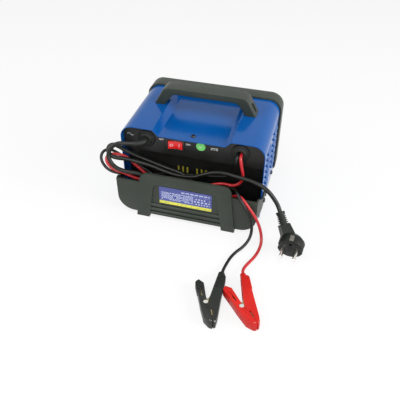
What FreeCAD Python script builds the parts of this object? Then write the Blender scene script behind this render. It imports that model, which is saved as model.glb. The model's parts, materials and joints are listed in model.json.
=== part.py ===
import FreeCAD, Part
import math
import os
import Sketcher
from FreeCAD import Placement, Rotation, Vector

# A transformer battery charger in a folded steel case, in millimetres.
# X runs to the right as seen from the cable tray, +Y runs towards the control
# panel, and Z is up. The origin is on the floor under the middle of the case.

SIZES = {
    # case
    "overall_depth": 196.4,
    "cover_width": 220.0,
    "cover_top": 137.0,
    "cover_bottom": 5.0,
    "cover_length": 132.6,
    "cover_corner_radius": 20.0,
    "cover_bend_radius": 1.6,
    "sheet_steel": 1.2,
    "channel_depth": 9.0,
    "channel_half_width": 59.0,
    "fit_gap": 0.3,
    # side louvres
    "louvre_pitch": 10.5,
    "louvre_length": 24.0,
    "louvre_height": 6.4,
    "louvre_depth": 2.6,
    "louvre_first": 46.0,
    "louvre_count": 7.0,
    "louvre_rear_setback": 22.0,
    "louvre_front_setback": 78.0,
    # rear panel
    "upper_recess": 9.0,
    "lower_recess": 21.0,
    "panel_step_height": 92.0,
    "grommet_spacing": 144.0,
    "grommet_drop": 22.0,
    "grommet_hole": 19.0,
    "vent_width": 3.2,
    "vent_height": 12.0,
    "vent_pitch": 7.2,
    "vent_level": 58.3,
    "vent_group_spacing": 30.1,
    "vent_centre": -4.6,
    "sticker_diameter": 14.0,
    "sticker_centre": 12.5,
    # base
    "base_level": 6.5,
    "base_flange": 16.0,
    "base_slot_width": 3.0,
    "base_slot_length": 32.0,
    "base_slot_rear": -12.0,
    # bezel and control panel
    "bezel_depth": 25.6,
    "bezel_lap": 9.0,
    "bezel_proud": 3.0,
    "bezel_bottom": 2.4,
    "bezel_top_radius": 22.0,
    "bezel_bottom_radius": 10.0,
    "bezel_rim": 12.0,
    "bezel_rim_draft": 3.0,
    "panel_thickness": 1.5,
    # rubber feet
    "foot_diameter": 18.0,
    "foot_spacing": 176.0,
    "foot_front": 52.0,
    "foot_rear": -24.0,
    # cable tray
    "tray_wall": 2.5,
    "tray_wing_top": 63.0,
    "tray_wing_bottom": 4.0,
    "tray_wing_half_width": 109.4,
    "tray_corner_radius": 25.0,
    "tray_lap": 20.0,
    "tray_lap_top": 45.0,
    "tray_screw_level": 36.0,
    "arch_step": 5.0,
    "arch_top": 82.0,
    "arch_half_width_top": 69.0,
    "arch_half_width_foot": 78.5,
    "arch_corner_radius": 13.0,
    "leg_inner_half_width": 58.0,
    "arch_inner_half_width": 48.5,
    "arch_inner_top": 66.0,
    "arch_inner_radius": 9.0,
    "arch_recess": 4.0,
    "arch_lean": 3.0,
    "rib_pitch": 8.2,
    "rib_height": 5.4,
    "rib_depth": 3.0,
    "label_width": 82.0,
    "label_height": 31.0,
    "label_bottom": 30.0,
    "label_thickness": 0.3,
    # handle
    "handle_centre": 26.0,
    "handle_depth": 23.0,
    "handle_top": 167.5,
    "handle_screw_offset": 6.5,
    "handle_bar": 12.0,
    "handle_foot_outer": 81.0,
    "handle_foot_inner": 64.0,
    "handle_top_outer": 64.0,
    "handle_corner_radius": 14.0,
    "handle_inner_radius": 11.0,
    # rocker switch on the rear panel
    "power_switch_width": 28.0,
    "power_switch_height": 19.5,
    "power_switch_centre": -26.5,
    "power_switch_level": 111.5,
    # control panel
    "meter_centre": 42.0,
    "meter_level": 82.0,
    "meter_width": 72.0,
    "meter_height": 54.0,
    "meter_depth": 34.0,
    "selector_width": 15.0,
    "selector_height": 21.0,
    "selector_level": 88.0,
    "selector_first": -34.0,
    "selector_pitch": 40.0,
    "lamp_diameter": 6.0,
    "lamp_level": 44.0,
    "lamp_first": -24.0,
    "lamp_pitch": 25.0,
    "breaker_centre": 78.0,
    "breaker_level": 36.0,
    "breaker_bore": 11.0,
    "breaker_travel": 4.0,
    "rocker_tilt": 12.0,
    "panel_slot_first": -8.0,
    "panel_slot_pitch": 9.0,
    "panel_slot_bottom": 24.0,
    "panel_slot_height": 16.0,
    # transformer
    "core_centre": -5.0,
    "winding_clearance": 1.3,
    "core_width": 96.0,
    "core_height": 80.0,
    "core_stack": 40.0,
    "winding_build": 7.0,
    "frame_strip": 1.5,
    # output side
    "heatsink_length": 65.0,
    "heatsink_height": 62.0,
    "heatsink_base": 4.0,
    "heatsink_fin": 1.6,
    "heatsink_fin_height": 22.0,
    "heatsink_fins": 8.0,
    # leads
    "mains_cord": 6.4,
    "output_lead": 4.5,
    "hank_length": 180.4,
    "hank_width": 42.4,
    "hank_centre": -66.0,
    "hank_step": 7.2,
    # clamps
    "clamp_jaw": 28.5,
    "clamp_handle": 51.5,
    "clamp_short_handle": 38.0,
    "clamp_steel": 1.0,
    "clamp_grip_width": 14.0,
    "clamp_pin": 4.0,
    "clamp_spring_wire": 1.3,
    # plug
    "plug_face": 37.0,
    "plug_pin": 4.8,
    "plug_pin_length": 19.0,
    "plug_pin_spacing": 19.0,
    "plug_relief": 19.0,
}


class Size(float):
    """A length from the size sheet, with the sheet formula that it stands for."""

    def __new__(cls, number, formula):
        item = float.__new__(cls, number)
        item.formula = formula
        return item

    def __add__(self, other):
        return Size(float(self) + float(other), f"({formula(self)} + {formula(other)})")

    def __radd__(self, other):
        return Size(float(other) + float(self), f"({formula(other)} + {formula(self)})")

    def __sub__(self, other):
        return Size(float(self) - float(other), f"({formula(self)} - {formula(other)})")

    def __rsub__(self, other):
        return Size(float(other) - float(self), f"({formula(other)} - {formula(self)})")

    def __mul__(self, other):
        return Size(float(self) * float(other), f"({formula(self)} * {formula(other)})")

    def __rmul__(self, other):
        return Size(float(other) * float(self), f"({formula(other)} * {formula(self)})")

    def __truediv__(self, other):
        return Size(float(self) / float(other), f"({formula(self)} / {formula(other)})")

    def __neg__(self):
        return Size(-float(self), f"(-1 * {formula(self)})")


def formula(number):
    if isinstance(number, Size):
        return number.formula
    return f"{float(number):.6f}"


doc = FreeCAD.newDocument("battery_charger")
sheet = doc.addObject("Spreadsheet::Sheet", "Sizes")


class Dimensions:
    pass


size = Dimensions()
for row, (name, number) in enumerate(SIZES.items(), start=1):
    sheet.set(f"A{row}", name)
    sheet.set(f"B{row}", str(number))
    sheet.setAlias(f"B{row}", name)
    setattr(size, name, Size(number, f"Sizes.{name}"))
doc.recompute()

nodes = []


def bind(item, prop, number):
    item.setExpression(prop, formula(number))


def place(item, corner, rotation=None):
    if rotation is not None:
        item.Placement = Placement(Vector(0, 0, 0), rotation)
    for axis, number in zip("xyz", corner):
        bind(item, f"Placement.Base.{axis}", number)
    return item


def keep(item, label):
    """Name a finished sub-part, which is written to a file of that name."""
    item.Label = label
    nodes.append(item)
    return item


def shaped(label, shape, position=None):
    """A sub-part whose shape is worked out here from the sheet's sizes."""
    item = doc.addObject("Part::Feature", label + "_solid")
    item.Shape = shape
    if position is not None:
        item.Placement = position
    return keep(item, label)


# Part primitives and booleans

def box(name, corner, lengths):
    item = doc.addObject("Part::Box", name)
    for prop, number in zip(("Length", "Width", "Height"), lengths):
        bind(item, prop, number)
    return place(item, corner)


TURNS = {
    "z": Rotation(),
    "y": Rotation(Vector(1, 0, 0), -90),
    "-y": Rotation(Vector(1, 0, 0), 90),
    "x": Rotation(Vector(0, 1, 0), 90),
    "-x": Rotation(Vector(0, 1, 0), -90),
    "-z": Rotation(Vector(1, 0, 0), 180),
}


def cylinder(name, start, radius, length, direction="z"):
    item = doc.addObject("Part::Cylinder", name)
    bind(item, "Radius", radius)
    bind(item, "Height", length)
    return place(item, start, TURNS[direction])


def cone(name, start, radius1, radius2, length, direction="z"):
    item = doc.addObject("Part::Cone", name)
    bind(item, "Radius1", radius1)
    bind(item, "Radius2", radius2)
    bind(item, "Height", length)
    return place(item, start, TURNS[direction])


def fuse(name, parts):
    item = doc.addObject("Part::MultiFuse", name)
    item.Shapes = parts
    item.Refine = True
    return item


def cut(name, base, tools):
    tool = tools[0] if len(tools) == 1 else fuse(name + "_tools", tools)
    item = doc.addObject("Part::Cut", name)
    item.Base = base
    item.Tool = tool
    return item


def group(name, parts):
    item = doc.addObject("Part::Compound", name)
    item.Links = parts
    return item


# PartDesign bodies: each sketch is a set of closed outlines on one of the
# body's own origin planes, and each corner of an outline is bound to the sheet.

PLANE_ROLES = {"XY": "XY_Plane", "XZ": "XZ_Plane", "YZ": "YZ_Plane"}


def new_body(name):
    return doc.addObject("PartDesign::Body", name)


def origin_plane(body, plane):
    role = PLANE_ROLES[plane]
    return [item for item in body.Origin.OriginFeatures if item.Role == role][0]


def add_polygon(sketch, corners):
    first = sketch.GeometryCount
    count = len(corners)
    for number in range(count):
        start = Vector(*[float(c) for c in corners[number]], 0)
        end = Vector(*[float(c) for c in corners[(number + 1) % count]], 0)
        sketch.addGeometry(Part.LineSegment(start, end))
    for number in range(count):
        following = first + (number + 1) % count
        sketch.addConstraint(Sketcher.Constraint("Coincident", first + number, 2, following, 1))
    for number, corner in enumerate(corners):
        for kind, coordinate in zip(("DistanceX", "DistanceY"), corner):
            made = sketch.addConstraint(
                Sketcher.Constraint(kind, first + number, 1, float(coordinate)))
            if isinstance(coordinate, Size):
                bind(sketch, f"Constraints[{made}]", coordinate)


def add_circle(sketch, centre_x, centre_y, radius):
    circle = Part.Circle(Vector(float(centre_x), float(centre_y), 0), Vector(0, 0, 1), float(radius))
    index = sketch.addGeometry(circle)
    for kind, coordinate in (("DistanceX", centre_x), ("DistanceY", centre_y)):
        made = sketch.addConstraint(Sketcher.Constraint(kind, index, 3, float(coordinate)))
        bind(sketch, f"Constraints[{made}]", coordinate)
    made = sketch.addConstraint(Sketcher.Constraint("Radius", index, float(radius)))
    bind(sketch, f"Constraints[{made}]", radius)


def new_sketch(body, plane, outlines, start):
    sketch = body.newObject("Sketcher::SketchObject", body.Name + "_sketch")
    sketch.AttachmentSupport = [(origin_plane(body, plane), "")]
    sketch.MapMode = "FlatFace"
    offset = -start if plane == "XZ" else start
    bind(sketch, "AttachmentOffset.Base.z", offset)
    for outline in outlines:
        if isinstance(outline, tuple):
            add_circle(sketch, *outline)
        else:
            add_polygon(sketch, outline)
    return sketch


def pad(body, plane, outlines, start, length):
    """Grow the outlines along the plane's positive axis, from start."""
    feature = body.newObject("PartDesign::Pad", body.Name + "_pad")
    feature.Profile = new_sketch(body, plane, outlines, start)
    feature.Reversed = plane == "XZ"
    bind(feature, "Length", length)
    return feature


def pocket(body, plane, outlines, start, length):
    """Cut the outlines along the plane's positive axis, from start."""
    doc.recompute()
    before = body.Shape.Volume
    feature = body.newObject("PartDesign::Pocket", body.Name + "_pocket")
    feature.Profile = new_sketch(body, plane, outlines, start)
    feature.Reversed = plane != "XZ"
    bind(feature, "Length", length)
    doc.recompute()
    assert body.Shape.Volume < before - 0.01, f"a pocket in {body.Name} cuts nothing"
    return feature


def revolve(body, outline):
    """Turn an outline on the XZ plane through a full circle about Z."""
    sketch = new_sketch(body, "XZ", [outline], 0.0)
    feature = body.newObject("PartDesign::Revolution", body.Name + "_turned")
    feature.Profile = sketch
    feature.ReferenceAxis = (sketch, ["V_Axis"])
    feature.Angle = 360.0
    return feature


def round_edges(body, radius, wanted):
    """Round each edge of the body for which wanted(edge) holds."""
    doc.recompute()
    tip = body.Tip
    names = [f"Edge{n}" for n, edge in enumerate(tip.Shape.Edges, start=1) if wanted(edge)]
    assert names, f"no edge of {body.Name} to round"
    feature = body.newObject("PartDesign::Fillet", body.Name + "_round")
    feature.Base = (tip, names)
    bind(feature, "Radius", radius)
    return feature


def middle(edge):
    return edge.CenterOfMass


def runs_along(edge, axis):
    if not isinstance(edge.Curve, Part.Line):
        return False
    return abs(abs(edge.Curve.Direction.dot(axis)) - 1.0) < 1e-4


X_AXIS = Vector(1, 0, 0)
Y_AXIS = Vector(0, 1, 0)
Z_AXIS = Vector(0, 0, 1)

# Planes that several pieces share

bezel_front = size.overall_depth / 2
bezel_rear = bezel_front - size.bezel_depth
tray_front = -size.overall_depth / 2
cover_rear = bezel_rear - size.cover_length
cover_front = bezel_rear + size.bezel_lap - size.fit_gap
cover_half = size.cover_width / 2
cover_inside = cover_half - size.sheet_steel
channel_floor = size.cover_top - size.channel_depth
channel_floor_half = size.channel_half_width - size.channel_depth
upper_panel = cover_rear + size.upper_recess
lower_panel = cover_rear + size.lower_recess
base_top = size.base_level + size.sheet_steel
grommet_level = size.cover_top - size.grommet_drop
tray_side_half = cover_half + size.fit_gap + size.tray_wall
wing_front = tray_front + size.arch_step
channel_screw_y = cover_rear + 13.0
tray_screw_y = cover_rear + 8.0
CREASE = math.tan(math.radians(22.5))


def channel_section(inset, bottom):
    """The cover's outline, drawn inside or outside its outer face."""
    side = cover_half - inset
    top = size.cover_top - inset
    floor = channel_floor - inset
    upper = size.channel_half_width + inset * CREASE
    lower = channel_floor_half + inset * CREASE
    return [(side, bottom), (side, top), (upper, top), (lower, floor),
            (-lower, floor), (-upper, top), (-side, top), (-side, bottom)]


# Cover: one sheet folded into an upside-down U, with a shallow channel along
# its top and pressed louvres down both sides.

def make_cover():
    body = new_body("cover_sheet")
    outer = channel_section(0.0, size.cover_bottom)
    inner = channel_section(size.sheet_steel, size.cover_bottom)
    pad(body, "XZ", [outer + inner[::-1]], cover_rear, cover_front - cover_rear)

    def outer_corner(edge):
        point = middle(edge)
        return runs_along(edge, Y_AXIS) and abs(point.z - size.cover_top) < 0.01 and \
            abs(abs(point.x) - cover_half) < 0.01

    def inner_corner(edge):
        point = middle(edge)
        return runs_along(edge, Y_AXIS) and abs(abs(point.x) - cover_inside) < 0.01 and \
            abs(point.z - (size.cover_top - size.sheet_steel)) < 0.01

    def crease(edge):
        point = middle(edge)
        return runs_along(edge, Y_AXIS) and abs(point.x) < size.channel_half_width + 1.0 and \
            point.z > channel_floor - size.sheet_steel - 0.1

    round_edges(body, size.cover_corner_radius, outer_corner)
    round_edges(body, size.cover_corner_radius - size.sheet_steel, inner_corner)
    round_edges(body, size.cover_bend_radius, crease)
    for setback in (size.louvre_rear_setback, size.louvre_front_setback):
        add_louvres(body, cover_rear + setback)
    pocket(body, "XY", [(0.0, channel_screw_y, 2.1)], channel_floor - 3.0, 6.0)
    pocket(body, "YZ", [(tray_screw_y, size.tray_screw_level, 2.1)], -cover_half - 1.0, size.cover_width + 2.0)
    handle_holes = [(x, size.handle_centre + y, 2.2)
                    for x in (handle_screw_x, -handle_screw_x)
                    for y in (-size.handle_screw_offset, size.handle_screw_offset)]
    pocket(body, "XY", [handle_holes[0], handle_holes[1], handle_holes[2], handle_holes[3]],
           size.cover_top - 4.0, 8.0)
    return keep(body, "cover")


def louvre_outline(sign, outer, inner):
    """A louvre's section: it leaves the wall at its top and stands out at its open foot."""
    foot = size.louvre_first
    top = foot + size.louvre_height
    return [(sign * inner, foot), (sign * outer, foot), (sign * outer, foot + 0.8), (sign * inner, top)]


def add_louvres(body, start):
    face = cover_half - 0.2
    proud = cover_half + size.louvre_depth
    made = pad(body, "XZ", [louvre_outline(1.0, proud, face), louvre_outline(-1.0, proud, face)],
               start, size.louvre_length)
    hollow_outer = proud - size.sheet_steel
    hollow_inner = cover_inside - 1.0
    foot = size.louvre_first - 0.1
    top = foot + size.louvre_height - 1.6
    hollows = []
    for sign in (1.0, -1.0):
        hollows.append([(sign * hollow_inner, foot), (sign * hollow_outer, foot),
                        (sign * (cover_half + 0.2), top), (sign * hollow_inner, top)])
    doc.recompute()
    opened = pocket(body, "XZ", hollows, start + size.sheet_steel,
                    size.louvre_length - 2 * size.sheet_steel)
    pattern = body.newObject("PartDesign::LinearPattern", body.Name + "_column")
    pattern.Originals = [made, opened]
    pattern.Direction = (origin_axis(body, "Z_Axis"), [""])
    bind(pattern, "Length", size.louvre_pitch * (size.louvre_count - 1))
    pattern.Occurrences = int(size.louvre_count)
    body.Tip = pattern


def origin_axis(body, role):
    return [item for item in body.Origin.OriginFeatures if item.Role == role][0]


# Rear panel: a sheet with a step, held behind the cover's rear edge.

def make_rear_panel():
    body = new_body("rear_sheet")
    section = channel_section(size.sheet_steel + size.fit_gap, size.panel_step_height)
    pad(body, "XZ", [section], upper_panel, size.sheet_steel)

    def corner(edge):
        point = middle(edge)
        return runs_along(edge, Y_AXIS) and abs(point.x) > 100 and point.z > 120

    round_edges(body, size.cover_corner_radius - size.sheet_steel - size.fit_gap, corner)
    side = cover_inside - size.fit_gap
    step = size.panel_step_height
    shelf = [(-side, step), (side, step), (side, step + size.sheet_steel), (-side, step + size.sheet_steel)]
    pad(body, "XZ", [shelf], upper_panel, lower_panel - upper_panel + size.sheet_steel)
    lower = [(-side, size.base_level), (side, size.base_level),
             (side, step + size.sheet_steel), (-side, step + size.sheet_steel)]
    pad(body, "XZ", [lower], lower_panel, size.sheet_steel)
    tab_top = channel_floor - size.sheet_steel - size.fit_gap
    pad(body, "XZ", [rectangle(-9.0, tab_top - size.sheet_steel, 9.0, tab_top)], upper_panel, 11.0)
    pocket(body, "XY", [(0.0, channel_screw_y, 2.0)], tab_top - 3.0, 6.0)
    holes = [(x, grommet_level, size.grommet_hole / 2)
             for x in (size.grommet_spacing / 2, -size.grommet_spacing / 2)]
    pocket(body, "XZ", holes, upper_panel - 1.0, 4.0)
    half = size.power_switch_width / 2 - 1.2
    rise = size.power_switch_height / 2 - 1.2
    centre = size.power_switch_centre
    level = size.power_switch_level
    pocket(body, "XZ", [rectangle(centre - half, level - rise, centre + half, level + rise)],
           upper_panel - 1.0, 4.0)
    pocket(body, "XZ", vent_outlines(), lower_panel - 1.0, 4.0)
    return keep(body, "rear_panel")


def rectangle(left, bottom, right, top):
    return [(left, bottom), (right, bottom), (right, top), (left, top)]


def vent_outlines():
    """Two groups of three upright slots in the rear panel's lower part."""
    outlines = []
    for side in (-0.5, 0.5):
        for number in (-1, 0, 1):
            x = size.vent_centre + side * size.vent_group_spacing + number * size.vent_pitch
            outlines.append(rectangle(x - size.vent_width / 2, size.vent_level - size.vent_height / 2,
                                      x + size.vent_width / 2, size.vent_level + size.vent_height / 2))
    return outlines


# Base pan: a flat floor with an upturned flange on all four sides, and slots
# that let air in beside the transformer and under the heat sink.

BASE_SLOTS = (60.0, 68.0, 84.0, 92.0, -70.0, -78.0)


def make_base_pan():
    body = new_body("base_sheet")
    side = cover_inside - size.fit_gap
    rear = lower_panel + size.sheet_steel
    front = cover_front - size.sheet_steel
    pad(body, "XY", [rectangle(-side, rear, side, front)], size.base_level, size.base_flange)
    inner = rectangle(-side + size.sheet_steel, rear + size.sheet_steel,
                      side - size.sheet_steel, front - size.sheet_steel)
    pocket(body, "XY", [inner], base_top, size.base_flange)
    screws = []
    for x in (-size.foot_spacing / 2, size.foot_spacing / 2):
        for y in (size.foot_front, size.foot_rear):
            screws.append((x, y, 2.1))
    for x, y in transformer_feet():
        screws.append((x, y, 2.6))
    pocket(body, "XY", screws, size.base_level - 1.0, 4.0)
    slots = [rectangle(x - size.base_slot_width / 2, size.base_slot_rear,
                       x + size.base_slot_width / 2, size.base_slot_rear + size.base_slot_length)
             for x in BASE_SLOTS]
    pocket(body, "XY", slots, size.base_level - 1.0, 4.0)
    return keep(body, "base_pan")


# Front bezel: a moulded frame that caps the cover's front edge.

def make_front_bezel():
    block = new_body("bezel_block")
    half = cover_half + size.bezel_proud
    top = size.cover_top + size.bezel_proud
    pad(block, "XZ", [rectangle(-half, size.bezel_bottom, half, top)], bezel_rear, size.bezel_depth)

    def upright_middle(edge, low, high):
        return runs_along(edge, Y_AXIS) and low < middle(edge).z < high

    round_edges(block, size.bezel_top_radius, lambda edge: upright_middle(edge, 100, 200))
    round_edges(block, size.bezel_bottom_radius, lambda edge: upright_middle(edge, 0, 30))
    round_edges(block, size.bezel_rim_draft, lambda edge: lies_at(edge, bezel_front))

    socket = new_body("bezel_socket")
    pad(socket, "XZ", [channel_section(-size.fit_gap, size.cover_bottom - size.fit_gap)],
        bezel_rear - 1.0, size.bezel_lap + 1.0 + panel_stack)

    def socket_corner(edge):
        return upright_middle(edge, 100, 200) and abs(abs(middle(edge).x) - (cover_half + size.fit_gap)) < 0.01

    round_edges(socket, size.cover_corner_radius + size.fit_gap, socket_corner)

    opening_half = cover_half - size.bezel_rim
    low = size.cover_bottom + size.bezel_rim
    high = channel_floor - 7.0
    opening = new_body("bezel_opening")
    pad(opening, "XZ", [rectangle(-opening_half, low, opening_half, high)], bezel_rear, size.bezel_depth + 1.0)
    round_edges(opening, size.bezel_bottom_radius - 3.0, lambda edge: runs_along(edge, Y_AXIS))

    draft = size.bezel_rim_draft
    flare = new_body("bezel_flare")
    pad(flare, "XZ", [rectangle(-opening_half - draft, low - draft, opening_half + draft, high + draft)],
        bezel_front - draft, draft + 1.0)
    round_edges(flare, size.bezel_bottom_radius, lambda edge: runs_along(edge, Y_AXIS))
    round_edges(flare, draft * 0.99, lambda edge: lies_at(edge, bezel_front - draft))
    return keep(cut("bezel_frame", block, [socket, opening, flare]), "front_bezel")


def lies_at(edge, y):
    """Whether the whole edge lies in the upright plane at y."""
    return abs(edge.BoundBox.YMin - y) < 0.01 and abs(edge.BoundBox.YMax - y) < 0.01


# Control panel: a plate behind the bezel, with a cut-out for each control.

panel_stack = size.panel_thickness + size.fit_gap
panel_rear = cover_front + size.fit_gap
panel_face = panel_rear + size.panel_thickness
selector_centres = [size.selector_first, size.selector_first - size.selector_pitch]
lamp_centres = [size.lamp_first - number * size.lamp_pitch for number in range(3)]
handle_screw_x = (size.handle_foot_outer + size.handle_foot_inner) / 2


PANEL_SLOTS = 7


def make_front_panel():
    body = new_body("panel_plate")
    half = cover_half - 1.5
    outline = rectangle(-half, size.cover_bottom + 2.0, half, channel_floor - 2.0)
    pad(body, "XZ", [outline], panel_rear, size.panel_thickness)
    round_edges(body, 8.0, lambda edge: runs_along(edge, Y_AXIS) and middle(edge).z > 100)
    wide = size.meter_width / 2 - 4.0
    tall = size.meter_height / 2 - 4.0
    cuts = [rectangle(size.meter_centre - wide, size.meter_level - tall,
                      size.meter_centre + wide, size.meter_level + tall)]
    for centre in selector_centres:
        cuts.append(rectangle(centre - size.selector_width / 2 + 1.2,
                              size.selector_level - size.selector_height / 2 + 1.2,
                              centre + size.selector_width / 2 - 1.2,
                              size.selector_level + size.selector_height / 2 - 1.2))
    for centre in lamp_centres:
        cuts.append((centre, size.lamp_level, size.lamp_diameter / 2 + 0.15))
    cuts.append((size.breaker_centre, size.breaker_level, size.breaker_bore / 2 + 1.0))
    for number in range(PANEL_SLOTS):
        x = size.panel_slot_first + number * size.panel_slot_pitch
        cuts.append(rectangle(x - size.vent_width / 2, size.panel_slot_bottom,
                              x + size.vent_width / 2, size.panel_slot_bottom + size.panel_slot_height))
    pocket(body, "XZ", cuts, panel_rear - 1.0, 4.0)
    return keep(body, "front_panel")


# Rubber feet under the base pan, each with a moulded boss in its bolt hole.

def make_rubber_feet():
    feet = []
    for x in (-size.foot_spacing / 2, size.foot_spacing / 2):
        for y in (size.foot_front, size.foot_rear):
            pad_ = cone("foot_pad", (x, y, 0.0), size.foot_diameter / 2 - 1.5, size.foot_diameter / 2,
                        size.base_level)
            stem = cylinder("foot_stem", (x, y, size.base_level), 2.0, size.sheet_steel + 0.3)
            knob = cone("foot_knob", (x, y, base_top + 0.3), 3.4, 2.4, 2.6)
            feet.append(fuse("foot", [pad_, stem, knob]))
    return keep(group("feet_group", feet), "rubber_feet")


# Cable tray: an open moulding across the rear, with a raised arch whose two
# legs stand on the floor, and side walls that lap the case.

tray_back = cover_rear
tray_floor_top = size.tray_wing_bottom + size.tray_wall
arch_back = tray_front + size.tray_wall + size.arch_step


def wing_loft(inset, front, back, top):
    """The tray's body between two cross-sections: narrow in front, wide at the case."""
    sections = []
    for y, half in ((front, size.tray_wing_half_width), (back, tray_side_half)):
        half_inside = half - inset
        bottom = size.tray_wing_bottom + inset
        radius = size.tray_corner_radius - inset
        sections.append(round_bottom_wire(half_inside, bottom, top, radius, y))
    return Part.makeLoft(sections, True, True)


def round_bottom_wire(half, bottom, top, radius, y):
    """A closed outline in an upright plane, with its two lower corners rounded."""
    near = radius * (1.0 - math.sqrt(0.5))
    left_top = Vector(-half, y, top)
    left_end = Vector(-half, y, bottom + radius)
    left_mid = Vector(-half + near, y, bottom + near)
    left_low = Vector(-half + radius, y, bottom)
    right_low = Vector(half - radius, y, bottom)
    right_mid = Vector(half - near, y, bottom + near)
    right_end = Vector(half, y, bottom + radius)
    right_top = Vector(half, y, top)
    edges = [
        Part.LineSegment(left_top, left_end).toShape(),
        Part.Arc(left_end, left_mid, left_low).toShape(),
        Part.LineSegment(left_low, right_low).toShape(),
        Part.Arc(right_low, right_mid, right_end).toShape(),
        Part.LineSegment(right_end, right_top).toShape(),
        Part.LineSegment(right_top, left_top).toShape(),
    ]
    return Part.Wire(edges)


def prism_y(points, front, back):
    """A solid from an outline of (x, z) points, between two values of y."""
    wire = Part.makePolygon([Vector(x, front, z) for x, z in points + points[:1]])
    return Part.Face(wire).extrude(Vector(0, back - front, 0))


def prism_x(points, left, right):
    """A solid from an outline of (y, z) points, between two values of x."""
    wire = Part.makePolygon([Vector(left, y, z) for y, z in points + points[:1]])
    return Part.Face(wire).extrude(Vector(right - left, 0, 0))


def prism_z(points, bottom, top):
    """A solid from an outline of (x, y) points, between two values of z."""
    wire = Part.makePolygon([Vector(x, y, bottom) for x, y in points + points[:1]])
    return Part.Face(wire).extrude(Vector(0, 0, top - bottom))


def arch_slab(inset, front, back):
    """The arch: wider at its feet, with rounded shoulders, as one thick slab."""
    foot = -2.0
    top = size.arch_top - inset
    points = [(-size.arch_half_width_foot + inset, foot), (size.arch_half_width_foot - inset, foot),
              (size.arch_half_width_top - inset, top), (-size.arch_half_width_top + inset, top)]
    slab = prism_y(points, front, back)
    shoulders = [edge for edge in slab.Edges
                 if runs_along(edge, Y_AXIS) and edge.CenterOfMass.z > top - 0.01]
    return slab.makeFillet(size.arch_corner_radius - inset, shoulders)


def recess_slab(grow, front, back):
    """The shallow recess between the arch's legs."""
    foot = -2.0
    top = size.arch_inner_top + grow
    points = [(-size.leg_inner_half_width - grow, foot), (size.leg_inner_half_width + grow, foot),
              (size.arch_inner_half_width + grow, top), (-size.arch_inner_half_width - grow, top)]
    slab = prism_y(points, front, back)
    corners = [edge for edge in slab.Edges
               if runs_along(edge, Y_AXIS) and edge.CenterOfMass.z > top - 0.01]
    return slab.makeFillet(size.arch_inner_radius + grow, corners)


def leaned(shape):
    """The shape tipped back about the arch's front foot, as the whole arch leans."""
    tipped = shape.copy()
    tipped.rotate(Vector(0, tray_front, 0), X_AXIS, -math.degrees(math.atan(size.arch_lean / size.arch_top)))
    return tipped


def above(shape, level):
    """What remains of the shape over a level floor."""
    return shape.cut(Part.makeBox(400, 400, 40, Vector(-200, -300, level - 40)))


recess_face = tray_front + size.arch_recess


def make_cable_tray():
    wall = size.tray_wall
    body = wing_loft(0.0, wing_front, tray_back, size.tray_wing_top)
    for sign in (-1, 1):
        side = sign * tray_side_half - (wall if sign > 0 else 0.0)
        lap = Part.makeBox(wall, size.tray_lap, size.tray_lap_top - size.tray_corner_radius,
                           Vector(side, tray_back, size.tray_corner_radius))
        body = body.fuse(lap)
    body = body.fuse(above(leaned(arch_slab(0.0, tray_front, arch_back + 2.0)), 0.0))
    hollow = wing_loft(wall, wing_front + wall, tray_back + 1.0, size.arch_top + 10.0)
    inside_arch = above(leaned(arch_slab(wall, tray_front + wall, arch_back + 12.0)), tray_floor_top)
    hollow = hollow.fuse(inside_arch).cut(leaned(recess_slab(wall, tray_front, recess_face + wall)))
    body = body.cut(hollow)
    case_half = cover_half + size.fit_gap
    body = body.cut(Part.makeBox(2 * case_half, 200.0, 200.0,
                                 Vector(-case_half, cover_rear - size.fit_gap, tray_floor_top)))
    slope_start = wing_front + 8.0
    slope_end = tray_back + 40.0
    body = body.cut(prism_x([(slope_start, size.tray_wing_top), (tray_back, size.tray_lap_top),
                             (slope_end, size.tray_lap_top), (slope_end, 120.0), (slope_start, 120.0)],
                            -150.0, 150.0))
    body = body.cut(leaned(recess_slab(0.0, tray_front - 4.0, recess_face)))
    under_half = size.leg_inner_half_width - 0.6
    body = body.cut(Part.makeBox(2 * under_half, arch_back + 6.0 - (tray_front - 4.0), size.tray_wing_bottom + 1.0,
                                 Vector(-under_half, tray_front - 4.0, -1.0)))
    for number in range(3):
        body = body.fuse(leaned(tray_rib(number)))
    body = body.fuse(tray_tongue())
    for sign in (-1, 1):
        body = body.cut(Part.makeCylinder(2.2, 12.0, tray_screw_point(sign, -6.0), X_AXIS * sign))
    return shaped("cable_tray", body.removeSplitter())


def tray_rib(number):
    """One of the half-round ribs across the foot of the recess."""
    low = size.tray_wing_bottom + 1.0 + number * size.rib_pitch
    high = low + size.rib_height
    face = recess_face - size.rib_depth
    bevel = 1.2
    points = [(recess_face + 0.5, low), (face + bevel, low), (face, low + bevel), (face, high - bevel),
              (face + bevel, high), (recess_face + 0.5, high)]
    taper = (size.leg_inner_half_width - size.arch_inner_half_width) / size.arch_inner_top
    half = size.leg_inner_half_width - low * taper + 0.5
    return prism_x(points, -half, half)


def tray_tongue():
    """The tray's floor runs on under the base pan."""
    half = size.foot_spacing / 2 - size.foot_diameter / 2 - 3.0
    return Part.makeBox(2 * half, 40.0, size.base_level - size.fit_gap - size.tray_wing_bottom,
                        Vector(-half, tray_back - 3.0, size.tray_wing_bottom))


def tray_screw_point(sign, outward):
    x = sign * (tray_side_half + outward)
    return Vector(x, tray_screw_y, size.tray_screw_level)


def make_tray_screws():
    """A pan-head screw through each of the tray's side walls into the case."""
    screws = []
    for sign, direction in ((-1, "-x"), (1, "x")):
        point = tray_screw_point(sign, 0.0)
        inner = tray_screw_point(sign, -8.0)
        head = cone("tray_screw_head", (point.x, point.y, point.z), 4.2, 2.8, 2.4, direction)
        shank = cylinder("tray_screw_shank", (inner.x, inner.y, inner.z), 1.9, 8.4, direction)
        screws.append(fuse("tray_screw", [head, shank]))
    return keep(group("tray_screw_group", screws), "tray_screws")


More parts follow.
